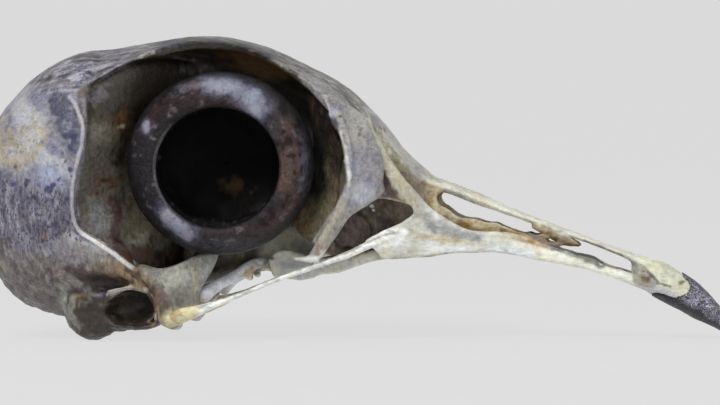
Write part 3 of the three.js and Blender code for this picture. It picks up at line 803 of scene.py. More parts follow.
def tip_rows(grow):
    """The bill's tip as rows for a bar, thicker by `grow` all round."""
    return [[x, y, z, high + grow, thick + grow] for x, y, z, high, thick in BILL_TIP]


def make_room_for_horn(field):
    """Thins the bill's tip where the horn sheath lies over it."""
    _, sheath = prism(field, HORN_EDGE)
    core = Field(*SKULL_BOX, BONE_STEP)
    core.join(bar(field, [row for row in tip_rows(-HORN_SEAT) if row[0] < BONE_TIP]), 0.1)
    field.d = np.maximum(field.d, np.where(sheath < 0, core.d, -FAR))


def fused_bone():
    field = Field(*SKULL_BOX, BONE_STEP)
    add_cranium(field)
    add_bill(field)
    add_cheek_and_palate(field)
    make_room_for_horn(field)
    return field


# ---- Quadrates, pterygoids and the horn tip: separate pieces on finer grids ----

QUADRATE_OUTLINE = [
    (-15.1, 5.2), (-13.5, 5.1), (-12.3, 5.36), (-11.1, 5.92), (-10.4, 6.15), (-9.4, 6.2),
    (-9.7, 5.1), (-10.27, 4.1), (-10.6, 3.4), (-10.75, 2.6), (-11.4, 2.0), (-12.4, 1.5),
    (-13.4, 1.5), (-13.55, 2.4), (-13.9, 3.2), (-14.7, 4.1),
]
QUADRATE_MIDDLE = [
    (-14.8, 4.9, 6.6), (-13.4, 3.8, 7.0), (-12.4, 2.2, 7.0), (-11.0, 5.0, 6.4), (-9.6, 5.9, 5.7),
    (-10.9, 2.8, 6.3),
]
QUADRATE_BODY = [
    [-14.6, 6.5, 4.8, 0.4, 0.45],
    [-13.6, 6.95, 3.9, 0.7, 0.5],
    [-12.9, 7.1, 2.9, 0.8, 0.6],
    [-12.6, 7.1, 1.9, 0.75, 0.65],
    [-12.4, 7.05, 1.35, 0.5, 0.55],
]
QUADRATE_INNER_CONDYLE = [
    [-12.9, 6.7, 1.7, 0.5, 0.5],
    [-12.6, 6.0, 1.3, 0.5, 0.5],
    [-12.3, 5.5, 1.15, 0.4, 0.4],
]
PTERYGOID = [
    [-10.4, 5.7, 3.2, 0.55, 0.45],
    [-9.5, 4.7, 3.9, 0.42, 0.38],
    [-8.4, 3.5, 4.5, 0.4, 0.34],
    [-7.3, 2.2, 5.2, 0.42, 0.34],
    [-6.6, 1.3, 5.4, 0.3, 0.3],
]
PTERYGOID_SPUR = [
    [-7.9, 2.8, 4.75, 0.3, 0.3],
    [-7.5, 2.4, 4.35, 0.25, 0.28],
]


def horn_sheath():
    field = Field((20.4, 0.0, -0.1), (27.8, 2.2, 5.4), SMALL_STEP)
    field.join(bar(field, tip_rows(HORN_THICKNESS)), 0.1)
    field.meet(prism(field, HORN_EDGE), 0.12)
    return field


def quadrate():
    field = Field((-16.2, 4.0, -0.2), (-8.2, 8.8, 7.4), SMALL_STEP)
    field.join(sheet(field, QUADRATE_OUTLINE, QUADRATE_MIDDLE, 0.26), 0.1)
    field.join(bar(field, QUADRATE_BODY), 0.7)
    field.join(bar(field, QUADRATE_INNER_CONDYLE), 0.5)
    return field


def pterygoid():
    field = Field((-12.2, 0.1, 1.6), (-5.2, 7.4, 7.0), SMALL_STEP)
    field.join(bar(field, PTERYGOID), 0.1)
    field.join(bar(field, PTERYGOID_SPUR), 0.35)
    return field


# ---- Eye rings and dried eyes ----

EYE_X, EYE_Z = -9.1, 12.5
RING_OUTER, RING_APERTURE = 6.42, 4.2
RING_WIDER = 1.03
RING_FACE = 8.25  # how far out the edge of the pupil's opening is
RING_SLOPE = 1.75  # how much further in the ring's outer edge is
RING_HALF_THICKNESS = 0.3
RING_SAG = 0.28  # the opening has dropped by this much in drying
PLATES = 14
EYE_RADIUS = 5.65
EYE_WALL = 0.45
EYE_BOWL_OUT = 6.1  # where the bowl of the dried eye would end without its collar
EYE_COLLAR = 1.25


def round_angles(around):
    """A row of angles, evenly round the eye's axis."""
    return np.linspace(0, 2 * math.pi, around, endpoint=False)[None]


def turned(name, radius, depth, side, sag=0.0):
    """A mesh turned about the eye's axis, from arrays of radius and depth (profile, around)."""
    rows, around = radius.shape
    angle = round_angles(around)
    x = EYE_X + RING_WIDER * radius * np.cos(angle)
    z = EYE_Z + radius * np.sin(angle) - sag
    points = np.stack([x, side * depth, z], -1).reshape(-1, 3)
    i, j = np.meshgrid(np.arange(rows), np.arange(around), indexing="ij")
    here, after = i * around, (i + 1) % rows * around
    beside = (j + 1) % around
    faces = np.stack([here + j, here + beside, after + beside, after + j], -1).reshape(-1, 4)
    if side > 0:
        faces = faces[:, ::-1]
    return new_object(name, points, faces)


def scleral_ring(name, side):
    """The ring of overlapping bony plates round the pupil."""
    t = np.linspace(0, 1, 64, endpoint=False)[:, None]
    angle = round_angles(360)
    # The section is a bent strip: out along the face and back along the underside.
    across = np.where(t < 0.5, 2 * t, 2 - 2 * t)
    face = np.where(t < 0.5, 1, -1)
    width = RING_OUTER - RING_APERTURE
    radius = RING_APERTURE + width * across
    ends = np.sqrt(np.maximum(0, 1 - (2 * across - 1) ** 6))
    dome = 0.5 * np.sin(math.pi * np.clip(across, 0, 1)) ** 0.8
    middle = RING_FACE - RING_SLOPE * across**1.3 + dome * 0.9
    thickness = RING_HALF_THICKNESS * ends
    # Each bony plate overlaps the next by a hair.
    place = angle / (2 * math.pi) * PLATES
    step = place - np.floor(place)
    tilt = 0.04 * (step - 0.5)
    seam = 0.025 * np.exp(-((np.minimum(step, 1 - step) / 0.035) ** 2))
    depth = middle + face * thickness + (tilt - seam) * ends * (face > 0)
    return turned(name, radius + 0 * angle, depth, side, RING_SAG * (1 - across) ** 1.5)


def dried_eye(name, side):
    """The shrunken eye: a folded bowl behind the ring."""
    angle = round_angles(240)
    t = np.linspace(0, 1, 90)[:, None]
    inner = t < 0.5
    turn = np.where(inner, t * 2, 2 - 2 * t) * math.pi / 2
    wall = np.where(inner, EYE_WALL, 0.0)
    radius = np.maximum((EYE_RADIUS - wall) * np.sin(turn), 0.02) + 0 * angle
    bowl = np.where(inner, 2.9, 3.1) * np.cos(turn)
    place = np.stack([radius * np.cos(angle), radius * np.sin(angle), 0 * radius], -1)
    folds = noise(place.reshape(-1, 3).astype(np.float32), 2.4, 2, NOISE["folds"]).reshape(radius.shape)
    # The bowl's rim turns up to meet the underside of the bony ring.
    collar = EYE_COLLAR * np.clip((np.sin(turn) - 0.93) / 0.07, 0, 1)
    depth = EYE_BOWL_OUT + collar - bowl + 0.5 * folds * np.sin(math.pi * t) * inner
    return turned(name, radius, depth, side)


def ragged_rim(name, side):
    """The torn edge of dried tissue just inside the pupil's opening."""
    angle = round_angles(360)
    ring = np.stack([np.cos(angle[0]), np.sin(angle[0]), 0 * angle[0]], 1) * 5
    torn = noise(ring.astype(np.float32), 1.6, 4, NOISE["torn"])[None]
    low = np.exp(-((np.sin(angle) + 1) / 0.5) ** 2)
    reach = 0.12 + 0.1 * torn + (0.16 + 0.28 * np.abs(torn)) * low
    across = np.array([0, 0.35, 0.7, 1, 1, 0.7, 0.35, 0])[:, None]
    face = np.array([1, 1, 1, 1, -1, -1, -1, -1])[:, None]
    hidden = 0.35
    radius = RING_APERTURE + hidden - across * (hidden + reach)
    depth = RING_FACE - 0.65 - 0.5 * across * (1 + 0.5 * torn) + 0.035 * face
    return turned(name, radius, depth, side, 0.25)


# ---- Paint: colours and masks kept at each point of a skin ----


def srgb(red, green, blue):
    """A colour of 0..255 as it looks, turned into linear light."""
    c = np.array([red, green, blue]) / 255
    return np.where(c <= 0.04045, c / 12.92, ((c + 0.055) / 1.055) ** 2.4)


def fade(value, start, end):
    """0 at start, 1 at end, smooth between; start may be the larger."""
    t = np.clip((value - start) / (np.asarray(end) - start), 0, 1)
    return t * t * (3 - 2 * t)


class Paint:
    """Colour and speckle laid on the points of one skin, in the order of the calls.

    Colours are of 0..255, as they look. speck is how dense the dark pores are, and run turns
    the bone's fibres from upright (0) to along the skull (1).
    """

    def __init__(self, points, base, seed=0):
        self.points = points
        self.x, self.y, self.z = points.T
        self.out = np.abs(self.y)
        self.everywhere = np.ones(len(points))
        self.color = np.tile(srgb(*base).astype(np.float32), (len(points), 1))
        self.speck = np.zeros(len(points), np.float32)
        self.run = np.zeros(len(points), np.float32)
        self.coarse = noise(points, 3.0, 3, seed + 1)
        self.middle = noise(points, 1.1, 3, seed + 2)
        self.fine = noise(points, 0.4, 2, seed + 3)
        self.upright = noise(points * (1.6, 1.6, 0.6), 0.55, 3, seed + 4)
        self.level = noise(points * (0.5, 1.6, 1.6), 0.55, 3, seed + 5)

    def lay(self, color, amount):
        """Mixes a colour in by an amount of 0 to 1 at each point."""
        amount = np.clip(amount, 0, 1)[:, None]
        self.color += (srgb(*color) - self.color) * amount

    def mottle(self, where, color, grain, low, high, strength=1.0):
        """A colour that comes and goes with a grain, between two of its values."""
        self.lay(color, strength * where * fade(grain, low, high))

    def dab(self, color, amount, *place, **shape):
        """A colour on a spot, placed as in spot()."""
        self.lay(color, amount * self.spot(*place, **shape))

    def dabs(self, where, rows):
        """Several dabs: rows of colour, strength, raggedness and what spot() takes."""
        for color, strength, ragged, *place in rows:
            self.dab(color, strength * where, *place, ragged=ragged)

    def streak(self, color, amount, *path):
        """A colour along a path, placed as in line()."""
        self.lay(color, amount * self.line(*path))

    def streaks(self, where, rows):
        """Several streaks: rows of colour, strength and what line() takes."""
        for color, strength, *path in rows:
            self.streak(color, strength * where, *path)

    def between(self, low, high):
        """A mask of the points between two distances from the middle plane."""
        return fade(self.out, low - 0.4, low) * fade(self.out, high + 0.4, high)

    def spot(self, x, z, reach_x, reach_z, lean=0.0, low=0.0, high=12.0, ragged=0.5, soft=0.5):
        """A mask round x, z in the side view, between two distances from the middle plane."""
        turn = math.radians(lean)
        dx, dz = self.x - x, self.z - z
        u = dx * math.cos(turn) + dz * math.sin(turn)
        v = dz * math.cos(turn) - dx * math.sin(turn)
        r = np.sqrt((u / reach_x) ** 2 + (v / reach_z) ** 2)
        grain = self.middle if min(reach_x, reach_z) > 0.5 else self.fine
        r = r + ragged * 0.5 * (grain + 0.5 * self.fine)
        return fade(r, 1 + soft, 1 - soft) * self.between(low, high)

    def near(self, rows, reach, solid):
        """The points in space or in the side view, and which of them are near the rows."""
        low, high = rows.min(0) - reach, rows.max(0) + reach
        place = np.stack([self.x, self.out, self.z] if solid else [self.x, self.z], 1)
        return place, ((place > low) & (place < high)).all(1)

    def line(self, rows, width, soft=0.5, ragged=0.3, low=0.0, high=12.0):
        """A mask along a path of x, y, z rows, or of x, z rows in the side view."""
        solid = len(rows[0]) > 2
        path = smooth_rows([row[:3] for row in rows], 4)
        place, near = self.near(path, width * (1 + soft) + 0.5, solid)
        p = place[near]
        best = np.full(len(p), 1e9, np.float32)
        for a, b in zip(path, path[1:]):
            d = b - a
            t = np.clip((p - a) @ d / (d @ d + 1e-9), 0, 1)
            best = np.minimum(best, ((p - a - t[:, None] * d) ** 2).sum(1))
        r = np.sqrt(best) / width + ragged * self.fine[near]
        mask = np.zeros(len(self.points), np.float32)
        mask[near] = fade(r, 1 + soft, 1 - soft)
        return mask * self.between(low, high)

    def area(self, outline, soft=0.15, ragged=0.0, low=0.0, high=12.0):
        """A mask inside a side-view outline."""
        rows = smooth_rows(outline, 4, closed=True)
        place, near = self.near(rows, soft + ragged + 0.3, False)
        d = outline_distance(place[near, 0], place[near, 1], rows)
        d = d + ragged * (self.fine[near] + 0.6 * self.middle[near])
        mask = np.zeros(len(self.points), np.float32)
        mask[near] = fade(d, soft, -soft)
        return mask * self.between(low, high)

    def put_on(self, thing):
        """Stores the colour, specks and run on the points of an object."""
        data = thing.data
        tint = data.attributes.new("tint", "FLOAT_COLOR", "POINT")
        rgba = np.ones((len(self.points), 4), np.float32)
        rgba[:, :3] = np.clip(self.color, 0, 1)
        tint.data.foreach_set("color", rgba.ravel())
        for name, values in (("speck", self.speck), ("run", self.run)):
            layer = data.attributes.new(name, "FLOAT", "POINT")
            layer.data.foreach_set("value", np.clip(values, 0, 1).astype(np.float32))


def blurred(array, reach):
    """Mean over a cube of 2 * reach + 1 points, one axis at a time."""
    for axis in range(3):
        pad = [(0, 0)] * 3
        pad[axis] = (reach + 1, reach)
        total = np.cumsum(np.pad(array, pad, mode="edge"), axis=axis, dtype=np.float64)
        n = array.shape[axis]
        after = np.take(total, range(2 * reach + 1, 2 * reach + 1 + n), axis=axis)
        before = np.take(total, range(0, n), axis=axis)
        array = ((after - before) / (2 * reach + 1)).astype(np.float32)
    return array


def sampled(array, low, step, points):
    """Values of an array at points, to the nearest grid point."""
    at = np.round((points - low) / step - 0.5).astype(int)
    at = np.clip(at, 0, np.array(array.shape) - 1)
    return array[at[:, 0], at[:, 1], at[:, 2]]


# ---- Materials ----


class Nodes:
    """Short calls for building a material's nodes."""

    def __init__(self, name):
        self.material = bpy.data.materials.new(name)
        self.material.use_nodes = True
        self.tree = self.material.node_tree
        self.shader = self.tree.nodes["Principled BSDF"]
        self.place = self.add("ShaderNodeTexCoord").outputs["Object"]

    def add(self, kind, inputs=None, **settings):
        node = self.tree.nodes.new(kind)
        for key, value in settings.items():
            setattr(node, key, value)
        for key, value in (inputs or {}).items():
            self.feed(node.inputs[key], value)
        return node

    def feed(self, socket, value):
        """Links another node's output to a socket, or sets it to a constant."""
        if isinstance(value, bpy.types.NodeSocket):
            self.tree.links.new(value, socket)
        else:
            socket.default_value = value

    def attribute(self, name, output):
        return self.add("ShaderNodeAttribute", attribute_name=name).outputs[output]

    def noise(self, size, detail=4.0, rough=0.55, warp=0.0, vector=None):
        """Noise whose grain is `size` mm."""
        node = self.add(
            "ShaderNodeTexNoise",
            {"Scale": 1 / (size * MM), "Detail": detail, "Roughness": rough, "Distortion": warp,
             "Vector": vector or self.place},
        )
        return node.outputs["Fac"]

    def cells(self, size):
        """The distance to the nearest of random points about `size` mm apart."""
        node = self.add("ShaderNodeTexVoronoi", {"Scale": 1 / (size * MM), "Vector": self.place})
        return node.outputs["Distance"]

    def stretched(self, x, y, z):
        """The place, scaled along each axis, for noise that runs one way."""
        node = self.add("ShaderNodeMapping", {"Vector": self.place, "Scale": (x, y, z)})
        return node.outputs["Vector"]

    def spread(self, value, low, high, to_low=0.0, to_high=1.0):
        """A value of low to high turned into to_low to to_high, and held there beyond them."""
        node = self.add(
            "ShaderNodeMapRange",
            {"Value": value, "From Min": low, "From Max": high, "To Min": to_low,
             "To Max": to_high},
        )
        return node.outputs["Result"]

    def sums(self, kind, a, b):
        """A Math node of that kind."""
        node = self.add("ShaderNodeMath", operation=kind)
        self.feed(node.inputs[0], a)
        self.feed(node.inputs[1], b)
        return node.outputs[0]

    def mix(self, amount, a, b, blend="MIX"):
        """Two colours mixed. The node's colour sockets are inputs 6 and 7 and output 2."""
        node = self.add("ShaderNodeMix", data_type="RGBA", blend_type=blend)
        for key, value in (("Factor", amount), (6, a), (7, b)):
            self.feed(node.inputs[key], value)
        return node.outputs[2]

    def uneven(self, tint, weight, tones, least, most):
        """A factor that follows `weight`, and varies more on a dark tint than on a pale one."""
        bright = self.add("ShaderNodeRGBToBW", {"Color": tint}).outputs["Val"]
        least = self.spread(bright, *tones, *least)
        most = self.spread(bright, *tones, *most)
        room = self.sums("SUBTRACT", most, least)
        return self.sums("ADD", least, self.sums("MULTIPLY", weight, room))

    def shaded(self, tint, red, green, blue):
        """The tint with each of its channels multiplied by a factor."""
        factors = self.add("ShaderNodeCombineColor", {"Red": red, "Green": green, "Blue": blue})
        return self.mix(1.0, tint, factors.outputs[0], "MULTIPLY")

    def finish(self, color, roughness, height=None, depth=0.0, **constants):
        """Feeds the shader, with a bump `depth` mm deep, and gives back the material."""
        self.feed(self.shader.inputs["Base Color"], color)
        self.feed(self.shader.inputs["Roughness"], roughness)
        for key, value in constants.items():
            self.shader.inputs[key.replace("_", " ")].default_value = value
        if height is not None:
            bump = self.add("ShaderNodeBump", {"Distance": depth * MM, "Height": height})
            self.feed(self.shader.inputs["Normal"], bump.outputs["Normal"])
        return self.material


def rgba(red, green, blue):
    """A colour of 0..255 as it looks, for a socket."""
    return (*srgb(red, green, blue), 1)


def bone_material():
    n = Nodes("dry_bone")
    tint = n.attribute("tint", "Color")
    density = n.attribute("speck", "Fac")
    run = n.attribute("run", "Fac")
    grain = n.noise(0.35, 6, 0.65, 0.4)
    upright = n.noise(0.24, 5, 0.6, 0.3, n.stretched(1.3, 1.3, 0.5))
    level = n.noise(0.24, 5, 0.6, 0.3, n.stretched(0.35, 1.3, 1.3))
    fibre = n.sums("ADD", n.sums("MULTIPLY", upright, n.sums("SUBTRACT", 1.0, run)),
                   n.sums("MULTIPLY", level, run))
    cloud = n.noise(1.4, 4, 0.6, 0.6)
    weight = n.spread(n.sums("ADD", grain, fibre), 0.75, 1.25)
    shade = n.uneven(tint, weight, (0.05, 0.5), (0.46, 0.76), (1.48, 1.15))
    warm = n.sums("MULTIPLY", shade, n.spread(cloud, 0.35, 0.65, 1.04, 0.98))
    cool = n.sums("MULTIPLY", shade, n.spread(cloud, 0.35, 0.65, 0.92, 1.03))
    color = n.shaded(tint, warm, shade, cool)
    # Dark pores with dried blood in them, thick where the density is high.
    dots = n.noise(0.22, 4, 0.6, 0.3, n.stretched(1.3, 1.3, 0.75))
    specks = n.spread(n.sums("SUBTRACT", dots, n.spread(density, 0.0, 1.0, 0.74, 0.51)), 0.0, 0.06)
    specks = n.sums("MULTIPLY", specks, n.spread(density, 0.02, 0.3))
    color = n.mix(n.sums("MULTIPLY", specks, 0.8), color, rgba(46, 44, 74))
    pores = n.spread(n.cells(0.18), 0.0, 0.25, 0.0, 0.4)
    height = n.sums("ADD", n.sums("ADD", grain, fibre), pores)
    return n.finish(color, n.spread(cloud, 0.3, 0.7, 0.34, 0.58), height, 0.04)


def ring_material():
    n = Nodes("dry_eye_ring")
    tint = n.attribute("tint", "Color")
    cloud = n.noise(0.9, 6, 0.65, 1.2)
    grain = n.noise(0.22, 5, 0.65, 0.4)
    weight = n.spread(n.sums("ADD", cloud, grain), 0.75, 1.3)
    shade = n.uneven(tint, weight, (0.04, 0.4), (0.45, 0.85), (1.6, 1.08))
    warm = n.sums("MULTIPLY", shade, n.spread(n.noise(1.3, 3, 0.6, 0.5), 0.35, 0.65, 1.1, 0.94))
    color = n.shaded(tint, warm, shade, shade)
    height = n.sums("ADD", grain, n.sums("MULTIPLY", cloud, 1.6))
    return n.finish(color, n.spread(cloud, 0.3, 0.7, 0.4, 0.65), height, 0.1, Specular_IOR_Level=0.22)


def eye_material():
    n = Nodes("dried_eye_tissue_and_shade")
    tint = n.attribute("tint", "Color")
    folds = n.noise(1.6, 4, 0.5, 1.2)
    color = n.mix(n.spread(folds, 0.45, 0.7, 0.0, 0.6), tint, rgba(2, 2, 2))
    return n.finish(color, 0.6, n.sums("MULTIPLY", folds, 2.0), 0.05, Specular_IOR_Level=0.08)


def horn_material():
    n = Nodes("dry_horn")
    tint = n.attribute("tint", "Color")
    veins = n.noise(0.55, 6, 0.75, 2.5)
    line = n.spread(n.sums("ABSOLUTE", n.sums("SUBTRACT", veins, 0.5), 0.0), 0.0, 0.045, 1.0, 0.0)
    shade = n.spread(n.noise(0.3, 5, 0.65, 1.2), 0.38, 0.62, 0.35, 1.6)
    color = n.shaded(tint, shade, shade, shade)
    color = n.mix(n.sums("MULTIPLY", line, 0.7), color, rgba(30, 24, 44))
    height = n.sums("SUBTRACT", n.noise(0.2, 4, 0.6), line)
    return n.finish(color, n.spread(veins, 0.3, 0.7, 0.3, 0.5), height, 0.05)


# ---- Colours of the fused bone ----


# x, z and size of the dark blue flecks behind the orbit
BLUE_FLECKS = [
    (-20.6, 16.3, 0.16), (-20.3, 16.0, 0.2), (-20.0, 15.7, 0.22), (-19.6, 15.4, 0.18),
    (-20.0, 15.0, 0.18), (-19.8, 14.4, 0.18), (-19.3, 14.5, 0.22), (-19.6, 13.9, 0.24),
    (-19.1, 14.3, 0.18), (-19.3, 13.5, 0.16), (-20.9, 17.3, 0.14), (-20.5, 17.1, 0.14),
    (-20.0, 18.5, 0.16), (-19.6, 18.2, 0.16), (-19.3, 18.7, 0.16), (-20.2, 11.4, 0.14),
    (-20.6, 11.0, 0.16), (-21.0, 10.7, 0.18), (-21.6, 10.9, 0.16), (-19.7, 12.7, 0.12),
    (-19.4, 12.1, 0.12), (-19.2, 11.6, 0.1), (-22.6, 11.2, 0.2), (-20.3, 12.4, 0.1),
    (-23.6, 11.0, 0.18), (-24.3, 10.6, 0.18), (-22.1, 10.2, 0.16), (-19.5, 16.6, 0.12),
    (-19.9, 13.2, 0.14),
]


def paint_braincase(p):
    x, z, out = p.x, p.z, p.out
    case = fade(x, -11.0, -13.5)
    p.run += 0.5 * case * fade(z, 11.0, 13.5)
    # White and pale blue above, with yellow stains.
    p.lay((138, 137, 146), case)
    p.mottle(case, (112, 114, 142), p.middle, -0.1, 0.8, 0.8)
    p.mottle(case, (180, 178, 174), p.coarse - 0.3 * p.fine, 0.0, 0.7, 0.8)
    p.mottle(case, (92, 88, 98), p.fine + 0.5 * p.middle, 0.4, 0.9, 0.6)
    side = case * fade(out, 1.5, 4)
    # Pale dabs on the side: partly the bone's own white and partly painted highlight.
    p.dabs(side, [
        ((180, 181, 187), 0.9, 0.6, -22.9, 15.7, 1.1, 1.8, 30),
        ((174, 175, 183), 0.8, 0.9, -23.4, 12.9, 1.0, 0.5, -30),
        ((180, 182, 194), 0.8, 0.7, -21.0, 12.6, 1.9, 0.9, -40),
        ((150, 150, 152), 0.6, 0.7, -20.0, 9.6, 0.9, 2.0, 0),
    ])
    for rows, width in (
        ([(-24.2, 15.0), (-23.8, 13.9), (-23.0, 13.3), (-22.1, 13.1), (-21.4, 13.7), (-21.2, 14.4)], 0.14),
        ([(-23.1, 14.6), (-22.3, 15.0), (-21.4, 14.8)], 0.16),
        ([(-24.4, 12.8), (-23.5, 12.3), (-22.6, 12.5), (-21.9, 12.9)], 0.18),
        ([(-22.0, 16.6), (-22.3, 15.6), (-21.6, 14.9)], 0.1),
        ([(-24.9, 14.0), (-24.3, 12.9), (-23.4, 12.6)], 0.14),
    ):
        p.streak((158, 146, 112), 0.5, rows, width, 1.2, 0.9, 2.0)
    p.dabs(1.0, [
        ((164, 158, 138), 0.4, 1.3, -22.6, 13.6, 1.6, 1.0, 10, 2.0),
        ((170, 160, 126), 0.45, 1.2, -24.8, 14.2, 0.5, 1.4, 0, 1.0),
        ((96, 62, 40), 0.9, 0.5, -23.5, 12.2, 0.16, 0.16, 0, 2.0),
    ])
    # Below them lavender and brown strokes with dark purple specks.
    low = case * fade(z + 0.45 * (x + 25) * fade(z, 7.0, 9.0) + 1.8 * p.coarse + 0.8 * p.middle, 13.2, 10.6)
    p.lay((112, 109, 120), low)
    p.mottle(low, (148, 150, 168), p.upright, 0.1, 0.9, 0.8)
    p.mottle(low, (74, 70, 90), p.upright, -0.05, -0.8, 0.85)
    brown = low * fade(z + 1.4 * p.middle, 8.6, 5.0)
    p.lay((108, 98, 90), 0.6 * brown)
    p.mottle(brown, (146, 138, 126), p.upright, 0.15, 0.9, 0.7)
    p.mottle(brown, (74, 62, 62), p.upright, -0.1, -0.8, 0.8)
    # Painted shade: darker towards the bottom at the back.
    p.lay((78, 72, 72), 0.55 * case * fade(z + 0.8 * p.middle, 3.6, 1.6) * fade(x, -25.0, -22.5))
    p.speck += low * (0.95 * fade(z, 5.5, 8.5) * fade(x, -16.8, -20.0) + 0.5)
    p.speck += 0.6 * case * fade(p.coarse, -0.2, 0.6) * fade(z, 12.0, 13.0)
    p.dab((150, 156, 184), 0.7, -21.0, 11.3, 1.1, 0.8, -40, 5.0, ragged=1.2)
    # Blue bruise behind the orbit's edge.
    bruise = p.area([(-21.1, 17.3), (-20.0, 17.5), (-19.3, 16.6), (-18.8, 15.2), (-18.8, 13.5),
                     (-19.5, 13.3), (-20.3, 14.5), (-20.9, 15.9)], 0.5, 0.35, 4.5)
    p.lay((52, 53, 80), 0.95 * bruise)
    p.mottle(bruise, (54, 57, 98), p.middle, 0.0, 0.6, 0.8)
    p.mottle(bruise, (138, 138, 152), p.fine, 0.3, 0.8, 0.5)
    p.speck += 0.5 * bruise
    for mx, mz, size in BLUE_FLECKS:
        p.dab((46, 46, 86), 0.85, mx, mz, size, 0.7 * size, 60 * mx, 3.0, ragged=1.9)
    # Crown: striped along the skull, with dark freckles.
    crown = case * fade(z + 0.7 * p.coarse + 0.5 * p.middle, 16.6, 18.4)
    p.lay((110, 107, 116), 0.9 * crown)
    p.mottle(crown, (54, 49, 54), p.level, 0.0, 0.7, 0.9)
    p.mottle(crown, (172, 172, 184), p.level, -0.1, -0.8, 0.8)
    p.mottle(crown, (84, 86, 124), p.coarse + 0.4 * p.fine, 0.3, 0.8, 0.5)
    p.speck += 0.6 * crown
    p.run = np.maximum(p.run, crown)
    # Muscle scar, light smear and yellow streak under the orbit's edge.
    scar = p.area([(-20.7, 6.8), (-20.3, 7.2), (-19.5, 7.2), (-18.5, 6.5), (-18.4, 5.8),
                   (-19.1, 5.2), (-20.2, 5.7)], 0.25, 0.2, 5.0)
    p.lay((142, 138, 146), 0.75 * scar)
    p.speck *= 1 - 0.7 * scar
    p.streak((184, 184, 190), 0.75, [(-19.6, 7.45), (-18.5, 7.0), (-17.2, 6.4)], 0.3, 0.9, 0.5, 5.0)
    p.dab((150, 150, 148), 0.7, -17.6, 5.9, 1.6, 0.5, -25, 5.0, ragged=0.8)
    p.streak((138, 122, 88), 0.6, [(-17.0, 5.5), (-16.0, 5.1), (-15.0, 4.2)], 0.3, 0.8, 0.8, 5.0)
    p.dabs(1.0, [
        ((156, 122, 74), 0.6, 0.9, -21.4, 7.5, 0.25, 0.3, 0, 5.0),
        ((150, 152, 142), 0.7, 0.8, -19.9, 2.6, 0.6, 1.6, 20, 4.0),
    ])


def paint_roof(p):
    x, z, out = p.x, p.z, p.out
    roof = fade(x, -16.5, -14.0) * fade(x, 4.4, 3.2) * fade(z, 10.8, 11.4)
    p.run = np.maximum(p.run, roof)
    p.lay((112, 109, 108), roof)
    p.mottle(roof, (58, 54, 58), p.level, 0.0, 0.8, 0.85)
    p.mottle(roof, (166, 163, 156), p.level, -0.1, -0.8, 0.75)
    dark = roof * fade(x, -14.5, -13.0) * fade(x, -3.5, -6.5) * fade(z, 19.6, 20.2)
    rim = fade(out, 2.6, 4.8)
    p.lay((9, 9, 9), 0.95 * dark * (0.15 + 0.85 * rim))
    p.lay((122, 119, 99), 0.45 * dark * rim * fade(p.level + 0.4 * p.fine, 0.1, 1.1))
    p.dab((48, 42, 66), 0.6 * rim, -12.6, 21.1, 0.8, 0.35, 0, 3.0, soft=0.9)
    p.dab((52, 46, 72), 0.6 * rim, -9.8, 21.2, 0.5, 0.3, 0, 3.0, soft=0.9)
    p.speck += 0.35 * roof


# The mouth of the orbit in the side view, down its rear edge and back over its roof.
ORBIT_MOUTH = [
    (-18.3, 17.3), (-18.2, 15.6), (-18.2, 14.5), (-18.6, 12.6), (-18.95, 10.5), (-18.8, 9.3),
    (-18.4, 8.1), (-17.2, 6.8), (-16.2, 6.1), (-15.0, 5.1), (-14.0, 4.4), (-9.0, 4.0),
    (-4.5, 4.9), (-2.9, 6.2), (-1.9, 7.7), (-1.3, 8.8), (-0.8, 9.8), (-0.6, 11.3), (-0.4, 12.7),
    (-0.7, 14.1), (-1.4, 15.5), (-1.7, 16.6), (-2.4, 17.2), (-3.5, 18.2), (-5.1, 19.15),
    (-7.0, 20.1), (-9.1, 20.6), (-12.4, 20.65), (-14.3, 20.35), (-17.2, 18.9),
]


# How far out from the middle plane the orbit's mouth is, along x.
ORBIT_MOUTH_X = [-16, -12, -4, -1.5, 0]
ORBIT_MOUTH_OUT = [8.1, 5.6, 5.6, 5.9, 4.6]


def orbit_shade(p):
    """1 inside an orbit and 0 outside. The view into it widens with depth."""
    wide = np.interp(p.x, ORBIT_MOUTH_X, ORBIT_MOUTH_OUT)
    reach = 0.1 + 0.12 * np.maximum(wide - p.out, 0)
    near = (p.x > -21) & (p.x < 2) & (p.out < 8.6)
    edge = np.full(len(p.x), FAR, np.float32)
    edge[near] = outline_distance(p.x[near], p.z[near], np.array(ORBIT_MOUTH))
    rows = smooth_rows(ROOF, 5)
    crown, half_width, drop = (np.interp(p.x, rows[:, 0], rows[:, i]) for i in (1, 2, 3))
    top = crown - drop * np.minimum(p.out / half_width, 1) ** ROOF_CURVE
    above = fade(p.z - top, -0.4, -0.2) * fade(p.x, rows[0, 0] - 0.5, rows[0, 0] + 0.5)
    return fade(edge, reach + 0.12, reach - 0.12) * fade(p.out, wide + 0.25, wide - 0.05) * (1 - above)


# z, x
LACRIMAL_EDGE = [
    (6.1, -2.85), (7.15, -2.6), (8.4, -1.76), (9.4, -1.06), (10.5, -0.43), (11.2, -0.15),
    (12.0, -0.22), (13.4, -0.43), (14.8, -0.75), (16.1, -1.45), (17.5, -2.7), (18.5, -3.6),
]


def lacrimal_edge(p):
    """Where the lacrimal's rear edge is along x, for each point's height."""
    heights, places = zip(*LACRIMAL_EDGE)
    return np.interp(p.z, heights, places)


